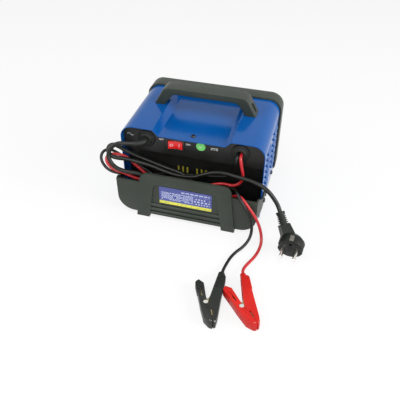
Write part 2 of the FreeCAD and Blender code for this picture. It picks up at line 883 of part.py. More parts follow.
def make_rating_label():
    sheet_ = Part.makeBox(size.label_width, size.label_thickness, size.label_height,
                          Vector(-size.label_width / 2, recess_face - size.label_thickness, size.label_bottom))
    return shaped("rating_label", leaned(sheet_))


# Handle: a moulded bow that bridges the channel, hollow at the outer side of
# each leg, on four screws from inside the cover.

def handle_outline():
    top = size.handle_top
    foot = size.cover_top
    return [(-size.handle_foot_outer, foot), (-size.handle_foot_inner, foot),
            (-size.handle_foot_inner + 13.0, top - size.handle_bar),
            (size.handle_foot_inner - 13.0, top - size.handle_bar),
            (size.handle_foot_inner, foot), (size.handle_foot_outer, foot),
            (size.handle_top_outer, top), (-size.handle_top_outer, top)]


def make_handle():
    body = new_body("handle_moulding")
    rear = size.handle_centre - size.handle_depth / 2
    pad(body, "XZ", [handle_outline()], rear, size.handle_depth)

    def shoulder(edge):
        return runs_along(edge, Y_AXIS) and abs(middle(edge).z - size.handle_top) < 0.01

    def inside(edge):
        return runs_along(edge, Y_AXIS) and \
            abs(middle(edge).z - (size.handle_top - size.handle_bar)) < 0.01

    round_edges(body, size.handle_corner_radius, shoulder)
    round_edges(body, size.handle_inner_radius, inside)

    def long_edge(edge):
        box_ = edge.BoundBox
        flat = box_.YLength < 0.01
        high = box_.ZMin > size.cover_top - 0.01 and box_.ZMax > size.cover_top + 0.01
        return flat and high

    round_edges(body, 2.4, long_edge)
    slot_rear = rear + 7.5
    slots = []
    for sign in (-1.0, 1.0):
        slots.append([(sign * (size.handle_foot_outer + 2.0), size.cover_top + 3.0),
                      (sign * (size.handle_foot_outer - 5.5), size.cover_top + 3.0),
                      (sign * (size.handle_foot_outer - 16.5), size.handle_top - 14.0),
                      (sign * (size.handle_foot_outer + 2.0), size.handle_top - 14.0)])
    pocket(body, "XZ", slots, slot_rear, size.handle_depth - 15.0)
    holes = [(x, size.handle_centre + y, 1.6) for x in (handle_screw_x, -handle_screw_x)
             for y in (-size.handle_screw_offset, size.handle_screw_offset)]
    pocket(body, "XY", holes, size.cover_top - 1.0, 11.0)
    return keep(body, "handle")


def make_handle_screws():
    under = size.cover_top - size.sheet_steel
    screws = []
    for x in (handle_screw_x, -handle_screw_x):
        for y in (-size.handle_screw_offset, size.handle_screw_offset):
            spot = size.handle_centre + y
            washer = cylinder("handle_washer", (x, spot, under - 1.0), 4.6, 1.0)
            head = cone("handle_screw_head", (x, spot, under - 1.0), 3.8, 2.6, 2.2, "-z")
            shank = cylinder("handle_screw_shank", (x, spot, under - 1.2), 1.55, 10.5)
            screws.append(fuse("handle_screw", [washer, head, shank]))
    return keep(group("handle_screw_group", screws), "handle_screws")


def make_cover_screws():
    """One screw in the channel, and two into the base flange on each side."""
    screws = []
    head = cone("channel_screw_head", (0.0, channel_screw_y, channel_floor), 3.8, 2.6, 2.2)
    shank = cylinder("channel_screw_shank", (0.0, channel_screw_y, channel_floor - 8.0), 1.9, 8.4)
    screws.append(fuse("channel_screw", [head, shank]))
    for sign, direction in ((-1.0, "-x"), (1.0, "x")):
        for y in (-12.0, 48.0):
            side_head = cone("side_screw_head", (sign * cover_half, y, 15.0), 3.8, 2.6, 2.2, direction)
            screws.append(side_head)
    return keep(group("cover_screw_group", screws), "cover_screws")


# Cable grommets: a rubber ring that grips the panel's edge, with a tapered nose.

def make_grommet(name, sign, bore):
    body = new_body(name + "_moulding")
    hole = size.grommet_hole / 2
    sheet_ = size.sheet_steel
    outline = [(bore, -4.0), (hole + 2.0, -4.0), (hole + 2.4, -3.0), (hole + 2.4, -0.3), (hole - 0.4, -0.3),
               (hole - 0.4, sheet_ + 0.3), (hole + 4.4, sheet_ + 0.3), (hole + 4.4, 2.8),
               (hole + 3.2, 4.0), (hole + 0.4, 4.3), (hole - 1.4, 6.2), (bore + 1.2, 6.2), (bore, 5.0)]
    revolve(body, outline)
    x = sign * size.grommet_spacing / 2
    place(body, (x, upper_panel + size.sheet_steel, grommet_level), TURNS["-y"])
    return keep(body, name)


def make_inspection_sticker():
    item = cylinder("sticker_disc", (size.sticker_centre, upper_panel, grommet_level),
                    size.sticker_diameter / 2, 0.3, "-y")
    return keep(item, "inspection_sticker")


# Rocker switches: a case that snaps into the sheet, and a rocker on a pin
# along local X. The rocker's two faces meet at a shallow angle.

def switch_case(label, width, height, depth, position):
    """A hollow case with a thin flange; width lies along local X, its face on local Z."""
    flange = box(label + "_flange", (-width / 2, -height / 2, 0.0), (width, height, 1.6))
    barrel = box(label + "_barrel", (-width / 2 + 1.6, -height / 2 + 1.6, -depth),
                 (width - 3.2, height - 3.2, depth + 0.5))
    well = box(label + "_well", (-width / 2 + 2.6, -height / 2 + 2.6, -(depth - 3.0)),
               (width - 5.2, height - 5.2, depth + 6.0))
    tags = [box(label + "_tag", (x - 2.4, -0.4, -depth - 7.0), (4.8, 0.8, 7.2))
            for x in (-width * 0.25, 0.0, width * 0.25)]
    solid = cut(label + "_solid", fuse(label + "_outer", [flange, barrel] + tags), [well])
    solid.Placement = position
    return keep(solid, label)


def switch_rocker(label, length, width, position):
    """The moving cap; length lies along local X and its pin along local Y, tilted one way."""
    half = length / 2 - 3.1
    across = width - 6.2
    body = new_body(label + "_moulding")
    outline = [(-half, 0.2), (-half + 0.2, 3.4), (-0.8, 1.4), (0.8, 1.4),
               (half - 0.2, 3.4), (half, 0.2), (2.6, -5.0), (-2.6, -5.0)]
    pad(body, "XZ", [outline], -across / 2, across)
    doc.recompute()
    tilt = Placement(Vector(0, 0, 0), Rotation(Y_AXIS, size.rocker_tilt / 2))
    body.Placement = position.multiply(tilt)
    return keep(body, label)


def on_rear_panel(x, z, turn=0.0):
    """Local Z points out of the rear panel, towards the tray."""
    facing = Rotation(Vector(1, 0, 0), 90)
    spin = Rotation(Vector(0, 0, 1), turn)
    return Placement(Vector(x, upper_panel, z), facing.multiply(spin))


def on_front_panel(x, z, turn=0.0):
    """Local Z points out of the control panel."""
    facing = Rotation(Vector(0, 0, 1), 180).multiply(Rotation(Vector(1, 0, 0), 90))
    spin = Rotation(Vector(0, 0, 1), turn)
    return Placement(Vector(x, panel_face, z), facing.multiply(spin))


def make_switches():
    spot = on_rear_panel(size.power_switch_centre, size.power_switch_level)
    switch_case("power_switch_case", size.power_switch_width, size.power_switch_height, 14.0, spot)
    switch_rocker("power_rocker", size.power_switch_width, size.power_switch_height, spot)
    for name, centre in zip(("voltage", "rate"), selector_centres):
        spot = on_front_panel(centre, size.selector_level, 90.0)
        switch_case(name + "_switch_case", size.selector_height, size.selector_width, 13.0, spot)
        switch_rocker(name + "_rocker", size.selector_height, size.selector_width, spot)


# Ammeter: a case behind the panel with a printed scale, a needle and a window.

needle_pivot_drop = size.meter_height / 2 - 12.0


def make_ammeter():
    wide = size.meter_width
    tall = size.meter_height
    left = size.meter_centre - wide / 2
    bottom = size.meter_level - tall / 2
    flange = box("meter_flange", (left, panel_face, bottom), (wide, 3.0, tall))
    barrel = box("meter_barrel", (left + 4.4, panel_face - size.meter_depth, bottom + 4.4),
                 (wide - 8.8, size.meter_depth + 1.0, tall - 8.8))
    well = box("meter_well", (left + 6.6, panel_face - 8.0, bottom + 6.6), (wide - 13.2, 20.0, tall - 13.2))
    rebate = box("meter_rebate", (left + 3.0, panel_face + 1.5, bottom + 3.0), (wide - 6.0, 5.0, tall - 6.0))
    case = cut("meter_case_body", fuse("meter_outer", [flange, barrel]), [well, rebate])
    pivot = (size.meter_centre, size.meter_level - needle_pivot_drop)
    pin = cylinder("meter_pin", (pivot[0], panel_face - 8.5, pivot[1]), 1.0, 6.5, "y")
    studs = [cylinder("meter_stud", (size.meter_centre + x, panel_face - size.meter_depth + 0.5,
                                     size.meter_level), 2.0, 9.0, "-y") for x in (-16.0, 16.0)]
    keep(fuse("meter_case", [case, pin] + studs), "ammeter_case")
    window = box("meter_window", (left + 3.0 + size.fit_gap / 2, panel_face + 1.5, bottom + 3.0 + size.fit_gap / 2),
                 (wide - 6.0 - size.fit_gap, 1.5, tall - 6.0 - size.fit_gap))
    keep(window, "ammeter_window")
    return pivot


def make_needle(pivot):
    """The needle turns on the meter's pin, and rests at the left end of its scale."""
    hub = Part.makeCylinder(2.6, 2.0, Vector(0, 0, 0), Y_AXIS)
    reach = size.meter_height - 26.0
    blade = Part.makePolygon([Vector(-0.7, 0.6, 0), Vector(0.7, 0.6, 0), Vector(0.25, 0.6, reach),
                              Vector(-0.25, 0.6, reach), Vector(-0.7, 0.6, 0)])
    blade = Part.Face(blade).extrude(Vector(0, 0.6, 0))
    tail = Part.makeBox(1.6, 0.6, 5.0, Vector(-0.8, 0.6, -5.0))
    shape = hub.fuse([blade, tail]).cut(Part.makeCylinder(1.05, 4.0, Vector(0, -1, 0), Y_AXIS))
    turn = Rotation(Y_AXIS, needle_rest)
    position = Placement(Vector(pivot[0], panel_face - 5.5, pivot[1]), turn)
    return shaped("ammeter_needle", shape, position)


needle_rest = 42.0


def make_lamps():
    lamps = []
    for centre in lamp_centres:
        barrel = cylinder("lamp_barrel", (centre, panel_rear - 6.0, size.lamp_level),
                          size.lamp_diameter / 2, 6.0 + size.panel_thickness + 1.0, "y")
        collar = cylinder("lamp_collar", (centre, panel_rear - 3.0, size.lamp_level),
                          size.lamp_diameter / 2 + 0.8, 2.8, "y")
        dome = doc.addObject("Part::Sphere", "lamp_dome")
        bind(dome, "Radius", size.lamp_diameter / 2)
        place(dome, (centre, panel_face + 1.0, size.lamp_level))
        lamps.append(fuse("lamp", [barrel, collar, dome]))
    keep(group("lamp_group", lamps), "indicator_lamps")
    board_left = lamp_centres[-1] - 12.0
    board = box("board_plate", (board_left, panel_rear - 7.8, size.lamp_level - 14.0),
                (lamp_centres[0] + 12.0 - board_left, 1.6, 28.0))
    posts = [cylinder("board_post", (x, panel_rear - 6.4, size.lamp_level + z), 2.5, 6.4, "y")
             for x in (board_left + 4.0, lamp_centres[0] + 8.0) for z in (-10.0, 10.0)]
    keep(fuse("board_body", [board] + posts), "lamp_board")


# Circuit breaker: a case behind the panel, and a button that springs out.

breaker_tail = 34.0


def make_breaker():
    x = size.breaker_centre
    z = size.breaker_level
    barrel = cylinder("breaker_barrel", (x, panel_rear - 26.0, z), 12.0, 26.0, "y")
    nose = cylinder("breaker_nose", (x, panel_rear - 1.0, z), size.breaker_bore / 2 + 0.9,
                    size.panel_thickness + 4.0, "y")
    nut = doc.addObject("Part::Prism", "breaker_nut")
    nut.Polygon = 6
    bind(nut, "Circumradius", size.breaker_bore / 2 + 3.6)
    bind(nut, "Height", 2.4)
    place(nut, (x, panel_face, z), TURNS["y"])
    bore = cylinder("breaker_well", (x, panel_rear - 16.0, z), size.breaker_bore / 2 - 1.5, 40.0, "y")
    terminals = [box("breaker_tag", (x + shift - 3.0, panel_rear - breaker_tail, z - 0.5), (6.0, 8.4, 1.0))
                 for shift in (-6.0, 6.0)]
    keep(cut("breaker_body", fuse("breaker_outer", [barrel, nose, nut] + terminals), [bore]), "breaker_case")
    stem = cylinder("breaker_stem", (x, panel_rear - 10.0, z), size.breaker_bore / 2 - 1.55,
                    10.0 + size.panel_thickness + 3.0 + size.breaker_travel + 0.5, "y")
    cap = cone("breaker_cap", (x, panel_face + 3.0 + size.breaker_travel + 0.5, z),
               size.breaker_bore / 2 - 1.0, size.breaker_bore / 2 - 1.6, 2.0, "y")
    keep(fuse("breaker_plunger", [stem, cap]), "breaker_button")


# Transformer: a laminated core, a bobbin with two windings on its middle leg,
# and a steel frame that four bolts hold to the base pan.

core_x = size.core_centre
bobbin_wall = 0.8
bobbin_depth = size.core_stack + 0.2 + 2 * bobbin_wall + 2 * (2 * size.winding_build - 1.4)
core_y = lower_panel + size.sheet_steel + size.winding_clearance + bobbin_depth / 2
leg_width = size.core_width / 3
window_width = size.core_width / 6
core_bottom = base_top + size.frame_strip


def centred_box(name, centre, lengths):
    corner = (centre[0] - lengths[0] / 2, centre[1] - lengths[1] / 2, centre[2] - lengths[2] / 2)
    return box(name, corner, lengths)


def make_transformer():
    middle_z = core_bottom + size.core_height / 2
    centre = (core_x, core_y, middle_z)
    window_height = size.core_height - 2 * window_width
    outer = centred_box("core_outer", centre, (size.core_width, size.core_stack, size.core_height))
    windows = []
    for sign in (-1.0, 1.0):
        spot = (core_x + sign * (leg_width / 2 + window_width / 2), core_y, middle_z)
        windows.append(centred_box("core_window", spot,
                                   (window_width, size.core_stack + 2.0, window_height)))
    keep(cut("core_laminations", outer, windows), "transformer_core")

    wall = bobbin_wall
    inner_w = leg_width + 0.2
    inner_d = size.core_stack + 0.2
    tube = centred_box("bobbin_tube", centre, (inner_w + 2 * wall, inner_d + 2 * wall, window_height - 0.4))
    flange_w = inner_w + 2 * wall + 2 * (2 * size.winding_build - 1.4)
    flange_d = bobbin_depth
    flanges = []
    for sign in (-1.0, 1.0):
        spot = (core_x, core_y, middle_z + sign * (window_height / 2 - 0.9))
        flanges.append(centred_box("bobbin_flange", spot, (flange_w, flange_d, 1.4)))
    hole = centred_box("bobbin_hole", centre, (inner_w, inner_d, window_height + 4.0))
    keep(cut("bobbin_body", fuse("bobbin_outer", [tube] + flanges), [hole]), "winding_bobbin")

    coil_height = window_height - 3.4
    inside_w = inner_w + 2 * wall
    inside_d = inner_d + 2 * wall
    for label, start in (("primary_winding", 0.0), ("secondary_winding", size.winding_build - 0.8)):
        build = size.winding_build - 1.2
        body = new_body(label + "_coil")
        w = inside_w / 2 + start
        d = inside_d / 2 + start
        pad(body, "XY", [rectangle(core_x - w - build, core_y - d - build, core_x + w + build, core_y + d + build)],
            middle_z - coil_height / 2, coil_height)
        round_edges(body, build - 0.2, lambda edge: runs_along(edge, Z_AXIS))
        pocket(body, "XY", [rectangle(core_x - w, core_y - d, core_x + w, core_y + d)],
               middle_z - coil_height, 3 * coil_height)
        keep(body, label)


def transformer_feet():
    reach = size.core_width / 2 + 9.0
    return [(core_x + sx * reach, core_y + sy * 12.0) for sx in (-1.0, 1.0) for sy in (-1.0, 1.0)]


def make_transformer_frame():
    """A strap over the core, with a foot at each end on the base pan."""
    half = size.core_width / 2
    strip = size.frame_strip
    top = core_bottom + size.core_height
    reach = half + 18.0
    points = [(core_x - reach, base_top), (core_x + reach, base_top), (core_x + reach, base_top + strip),
              (core_x + half + strip, base_top + strip), (core_x + half + strip, top + strip),
              (core_x - half - strip, top + strip), (core_x - half - strip, base_top + strip),
              (core_x - reach, base_top + strip)]
    body = new_body("frame_strap")
    depth = size.core_stack - 4.0
    pad(body, "XZ", [points], core_y - depth / 2, depth)
    pocket(body, "XZ", [rectangle(core_x - half, core_bottom, core_x + half, top)],
           core_y - size.core_stack, 2 * size.core_stack)
    pocket(body, "XY", [(x, y, 2.6) for x, y in transformer_feet()], base_top - 1.0, 4.0)
    return keep(body, "transformer_frame")


def make_transformer_bolts():
    bolts = []
    for x, y in transformer_feet():
        head = doc.addObject("Part::Prism", "bolt_head")
        head.Polygon = 6
        bind(head, "Circumradius", 4.6)
        bind(head, "Height", 3.4)
        place(head, (x, y, base_top + size.frame_strip))
        shank = cylinder("bolt_shank", (x, y, size.base_level - 0.4), 2.45, 4.0)
        bolts.append(fuse("transformer_bolt", [head, shank]))
    return keep(group("bolt_group", bolts), "transformer_bolts")


# Output side: a finned heat sink that carries the bridge rectifier.

heatsink_x = 74.0
heatsink_y = panel_rear - breaker_tail - 1.6 - size.heatsink_length


def make_heatsink():
    body = new_body("heatsink_profile")
    span = size.heatsink_length
    base = size.heatsink_base
    points = [(heatsink_x, heatsink_y), (heatsink_x, heatsink_y + span), (heatsink_x + base, heatsink_y + span)]
    pitch = (span - size.heatsink_fin) / (size.heatsink_fins - 1)
    for number in range(int(size.heatsink_fins) - 1, -1, -1):
        low = heatsink_y + number * pitch
        high = low + size.heatsink_fin
        if number < int(size.heatsink_fins) - 1:
            points.append((heatsink_x + base, high))
            points.append((heatsink_x + base + size.heatsink_fin_height, high))
        else:
            points[-1] = (heatsink_x + base + size.heatsink_fin_height, heatsink_y + span)
        points.append((heatsink_x + base + size.heatsink_fin_height, low))
        if number > 0:
            points.append((heatsink_x + base, low))
    points.append((heatsink_x, low))
    del points[-1]
    pad(body, "XY", [points], base_top, size.heatsink_height)
    return keep(body, "heatsink")


def make_bridge_rectifier():
    middle_y = heatsink_y + size.heatsink_length / 2
    block = box("bridge_block", (heatsink_x - 10.0, middle_y - 14.0, base_top + 26.0), (10.0, 28.0, 28.0))
    tags = [box("bridge_tag", (heatsink_x - 17.0, middle_y + y - 3.0, base_top + z), (7.4, 6.0, 0.8))
            for y in (-8.0, 8.0) for z in (32.0, 46.0)]
    screw = cylinder("bridge_screw", (heatsink_x - 13.0, middle_y, base_top + 40.0), 3.4, 3.2, "x")
    return keep(fuse("bridge_body", [block, screw] + tags), "bridge_rectifier")


def make_terminal_block():
    body = box("terminal_body", (-96.0, 24.0, base_top), (22.0, 23.4, 14.0))
    wells = [cylinder("terminal_well", (-85.0, 28.2 + 7.5 * number, base_top + 6.0), 2.9, 12.0)
             for number in range(3)]
    ports = [cylinder("terminal_port", (-100.0, 28.2 + 7.5 * number, base_top + 5.0), 2.0, 30.0, "x")
             for number in range(3)]
    return keep(cut("terminal_solid", body, wells + ports), "terminal_block")


# Cords and wires: each is one round tube along straight runs and tangent arcs.

def arc_edge(start, along, end):
    """The arc from start to end that leaves start in the direction along."""
    chord = end - start
    half = chord.Length / 2
    out = along - chord * (along.dot(chord) / chord.dot(chord))
    turn = 2 * along.getAngle(chord)
    out.normalize()
    crown = (start + end) * 0.5 + out * (half * math.tan(turn / 4))
    return Part.Arc(start, crown, end).toShape()


def biarc_edges(start, start_dir, end, end_dir):
    """Two arcs that join at a common tangent, between two points with given directions."""
    chord = end - start
    total = start_dir + end_dir
    spread = 2 * (1 - start_dir.dot(end_dir))
    if spread < 1e-9:
        reach = chord.dot(chord) / (2 * chord.dot(total))
    else:
        inside = chord.dot(total) ** 2 + spread * chord.dot(chord)
        reach = (math.sqrt(inside) - chord.dot(total)) / spread
    joint = (start + start_dir * reach + end - end_dir * reach) * 0.5
    first = arc_edge(start, start_dir, joint)
    last = arc_edge(end, end_dir * -1, joint)
    return [first, last]


def route_edges(name, points):
    """Straight runs joined by arcs, each as large as the shorter of its two runs allows."""
    corners = [Vector(*point) for point in points]
    edges = []
    reached = corners[0]
    radii = []
    for before, corner, after in zip(corners, corners[1:], corners[2:]):
        back = before - corner
        ahead = after - corner
        trim = 0.45 * min(back.Length, ahead.Length)
        half_turn = (math.pi - back.getAngle(ahead)) / 2
        back.normalize()
        ahead.normalize()
        start = corner + back * trim
        edges.append(Part.LineSegment(reached, start).toShape())
        reached = corner + ahead * trim
        edges.append(arc_edge(start, back * -1, reached))
        radii.append(round(trim / math.tan(half_turn), 1))
    edges.append(Part.LineSegment(reached, corners[-1]).toShape())
    print(f"{name}: bend radii {radii}")
    return edges


def tube(name, edges, diameter):
    """A round tube along the edges, whose volume is compared with section times length."""
    spine = Part.Wire(edges)
    first = edges[0]
    start = first.valueAt(first.FirstParameter)
    along = first.tangentAt(first.FirstParameter)
    ring = Part.Wire(Part.Circle(start, along, diameter / 2).toShape())
    solid = spine.makePipeShell([ring], True, False)
    if solid.Volume < 0:
        solid = solid.reversed()
    expected = math.pi * diameter ** 2 / 4 * spine.Length
    print(f"{name}: length {spine.Length:.0f}, volume over section times length {solid.Volume / expected:.4f}")
    assert abs(solid.Volume / expected - 1) < 0.01, f"{name} has the wrong volume"
    return solid


def least_gap(name, edges, diameter, apart):
    """Print the least gap of a wound tube to itself, measured on points along it."""
    points = []
    lengths = []
    travelled = 0.0
    for edge in edges:
        count = max(2, int(edge.Length / (diameter * 0.35)))
        for number, point in enumerate(edge.discretize(Number=count + 1)[:-1]):
            points.append(point)
            lengths.append(travelled + edge.Length * number / count)
        travelled += edge.Length
    least = min(points[i].distanceToPoint(points[j]) for i in range(len(points))
                for j in range(i + 1, len(points)) if lengths[j] - lengths[i] > apart)
    print(f"{name}: least gap to itself {least - diameter:.2f}")
    assert least - diameter > 0.4, f"{name} touches itself"


MAINS_START = [
    (-72, -56, 115), (-72, -61.5, 115), (-76, -67, 115.2), (-83, -70.5, 115.6), (-93.5, -73.5, 116),
    (-105.8, -76.5, 116.6), (-114, -79.5, 112.8), (-119.4, -83, 106.4), (-121.1, -87, 98.1), (-117, -90, 88.8),
    (-109.2, -91, 81), (-99.3, -89.5, 76.3), (-88, -86.5, 73.5), (-75.4, -82, 70.5), (-60, -81, 60),
    (-46, -82, 46), (-33, -83.5, 34), (-24.5, -84, 27.4), (-17, -84, 24.4), (-9, -84, 24.4),
]
MAINS_END = [
    (60, -48, 10), (51, -48, 10), (42, -50.5, 10.4), (33, -55, 13), (24, -59.5, 20), (16, -61.5, 30),
    (10, -61, 41), (3, -59.5, 51), (-6, -57.5, 59), (-18.4, -55, 63.3), (-43.3, -56, 69.6), (-66.5, -58, 77.9),
    (-86.2, -61.5, 86.5), (-101.5, -64.5, 95.5), (-111.5, -66.5, 102.6), (-118, -68, 106.4), (-123, -71.2, 106.2),
    (-125.5, -74.8, 103.2), (-124.2, -79, 97.4), (-119.5, -80, 92.8), (-112, -78.8, 90), (-97, -73.5, 87.3),
    (-79.8, -70, 82.5), (-60, -67.5, 77), (-40, -66, 69), (-16, -66, 64.9), (6.2, -66, 67.7), (21.8, -66, 76.7),
    (37, -66, 83.8), (53.9, -67, 86.6), (73.9, -69, 84.8), (92, -71, 84.2), (110.6, -75, 81.2), (123, -77.5, 73.4),
    (132.4, -79.5, 62.5), (138.4, -82, 54.4), (142, -86.5, 48.8),
]
RED_LEAD = [
    (74.35, -56, 115), (74.35, -60, 115), (75.1, -62.9, 112.4), (76, -64.4, 108.4), (77, -64.7, 102.6),
    (78.2, -64, 95.5), (79.6, -62.3, 87.5), (79.9, -61, 78.5), (77.2, -61.3, 70), (71.7, -62.5, 64.8),
    (64, -64, 63), (55, -65, 65), (45.5, -67, 65.5), (34, -69, 61.5), (18, -71, 57), (-3, -71.5, 55),
    (-27, -72, 53), (-47, -73.5, 51), (-63, -76.2, 51.8), (-78, -79, 56.5), (-91, -82, 62.5), (-101, -84.5, 69),
    (-109.5, -87, 72), (-118.6, -86.5, 75.6), (-125.4, -84, 80.4), (-129, -80, 85.4), (-128.4, -74.8, 88.6),
    (-123.5, -70.6, 89.6), (-114, -68, 89.3), (-104.5, -66.2, 87.1), (-97.5, -64.4, 81.1), (-91, -63.5, 73),
    (-82, -63.4, 64.8), (-72, -63.9, 56.5), (-61, -65.6, 49), (-47, -69, 43.5), (-28, -73, 40), (-4, -76, 38),
    (20, -77, 38.5), (42, -77.5, 42), (58, -79, 48.5), (68.5, -81.5, 56), (76, -85.6, 64.2), (84.4, -92.6, 68.4),
    (94.5, -98.7, 61), (103.5, -100.3, 49.8), (110.8, -100.8, 38.5), (116.6, -103, 27), (120.9, -107, 15.5),
    (123, -114, 7), (122, -124.5, 3), (120, -134.5, 2.6), (117, -144, 2.6), (113, -153, 2.8), (109.5, -162, 3.8),
    (107.8, -171, 5.8), (108.094, -177.876, 7), (109.485, -182.156, 7),
]
BLACK_LEAD = [
    (69.65, -56, 115), (69.65, -60, 115), (69.2, -62.9, 112.4), (68.8, -64.2, 108.2), (68.3, -63.4, 102.3),
    (67.6, -60.5, 94.5), (66.8, -56.5, 86), (64.5, -53, 77.5), (58, -51.3, 70.5), (47, -50.5, 66),
    (33, -50.3, 63.5), (17, -50, 61), (-1, -49.7, 58.5), (-21, -49.5, 56), (-42, -50, 53), (-60, -51.5, 50.5),
    (-75, -55, 49.5), (-87, -60, 50.5), (-97, -68, 54), (-103, -77, 60), (-109, -84.2, 65.8), (-118, -87.2, 69),
    (-126.5, -87, 73.6), (-133.6, -84.5, 80.8), (-136.9, -80.5, 88.1), (-135.4, -75.8, 94.4), (-131, -70.5, 96.3),
    (-126, -65.8, 93.8), (-119.5, -63.1, 89.4), (-109.5, -62.9, 83.6), (-101.5, -61, 78), (-92.5, -59.2, 71.6),
    (-81.5, -57.8, 64.5), (-68.5, -58.5, 57.5), (-54, -61, 50.5), (-36, -65, 45), (-14, -68.5, 42.5),
    (8, -70.5, 43), (30, -71.5, 47), (47, -71.3, 54), (58, -71, 61.5), (66, -73.5, 67.2), (72.5, -81, 70),
    (78.8, -91.8, 73.4), (86.6, -101, 66.8), (94.6, -103.4, 55.6), (101.1, -103, 42.2), (105.1, -104.2, 28.5),
    (106.3, -107.6, 16.4), (103.9, -115.5, 7.2), (98, -127, 3.2), (90.3, -138.3, 2.6), (84.8, -151.4, 2.6),
    (82.4, -164, 2.8), (81.3, -174, 4.6), (81.1, -182, 7), (81.1, -187.8, 7),
]
INNER_MAINS = [
    (-72, -56, 115), (-72, -40, 115), (-74, -29, 112.5), (-79, -20, 103), (-84, -9, 88), (-87, 0, 69),
    (-88, 5, 50), (-87, 7, 34), (-85.5, 11, 21), (-85, 17, 14.7), (-85, 23.9, 14.7),
]
INNER_RED = [
    (74.35, -56, 115), (74.35, -41, 115), (73, -31, 112), (68.5, -22, 103), (63, -12, 91), (60, -4, 79),
    (60, 2, 69), (60, 5, 61.5), (60, 5, 54.6),
]
INNER_BLACK = [
    (69.65, -56, 115), (69.65, -41, 115), (67, -30, 113), (61, -18, 107), (56, -3, 97), (55, 9, 85),
    (57.5, 17, 73), (60, 21, 63), (60, 21, 54.6),
]


def make_cord(label, points, diameter):
    return shaped(label, tube(label, route_edges(label, points), diameter))


def hank_edges():
    """Two and a half flat loops on the tray's floor, which sink by one step a loop along the front run."""
    radius = (size.hank_width - size.mains_cord) / 2
    end = size.hank_length / 2 - size.mains_cord / 2 - radius
    level = tray_floor_top + size.fit_gap + size.mains_cord / 2 + 2 * size.hank_step
    enter = Vector(*MAINS_START[-1])
    leave = Vector(*MAINS_END[0])
    front = size.hank_centre - radius
    rear = size.hank_centre + radius
    right = Vector(1, 0, 0)
    edges = []
    reached = Vector(enter.x, front, level)
    for loop in range(3):
        near = Vector(end, front, level)
        edges.append(Part.LineSegment(reached, near).toShape())
        edges += half_turn(near, Vector(end + radius, size.hank_centre, level), Vector(end, rear, level))
        if loop == 2:
            edges.append(Part.LineSegment(Vector(end, rear, level), Vector(leave.x, rear, level)).toShape())
            break
        far = Vector(-end, rear, level)
        edges.append(Part.LineSegment(Vector(end, rear, level), far).toShape())
        edges += half_turn(far, Vector(-end - radius, size.hank_centre, level), Vector(-end, front, level))
        sink_from = Vector(-end + radius / 2, front, level)
        edges.append(Part.LineSegment(Vector(-end, front, level), sink_from).toShape())
        level = level - size.hank_step
        reached = Vector(enter.x - radius / 3, front, level)
        edges += biarc_edges(sink_from, right, reached, right)
    return edges


def half_turn(start, crown, end):
    return [Part.Arc(start, crown, end).toShape()]


def make_mains_hank():
    edges = hank_edges()
    least_gap("mains_hank", edges, float(size.mains_cord), 60.0)
    return shaped("mains_hank", tube("mains_hank", edges, size.mains_cord))


def make_leads():
    make_cord("mains_lead_start", MAINS_START, size.mains_cord)
    make_mains_hank()
    make_cord("mains_lead_end", MAINS_END, size.mains_cord)
    make_cord("red_lead", RED_LEAD, size.output_lead)
    make_cord("black_lead", BLACK_LEAD, size.output_lead)
    make_cord("inner_mains_cable", INNER_MAINS, size.mains_cord)
    red = tube("inner_red", route_edges("inner_red", INNER_RED), size.output_lead)
    black = tube("inner_black", route_edges("inner_black", INNER_BLACK), size.output_lead)
    shaped("inner_output_cables", Part.makeCompound([red, black]))


# Plug: a round earthed head, a neck that leaves it at an angle, and a ribbed
# strain relief that the cord's end meets.

plug_entry = Vector(*MAINS_END[-1])
plug_axis = (Vector(*MAINS_END[-1]) - Vector(*MAINS_END[-2])).normalize()


def plug_frame():
    """The head's centre and its three directions: out of the pins, sideways and up."""
    out = Vector(-0.1, -1.0, -0.16).normalize()
    side = out.cross(Z_AXIS).normalize()
    return Vector(165.5, -127.0, size.plug_face / 2 + 0.1), out, side, side.cross(out)


def section_at(centre, across, up, half_width, half_height):
    corners = [centre + across * (sx * half_width) + up * (sy * half_height)
               for sx, sy in ((-1, -1), (1, -1), (1, 1), (-1, 1))]
    return Part.makePolygon(corners + corners[:1])


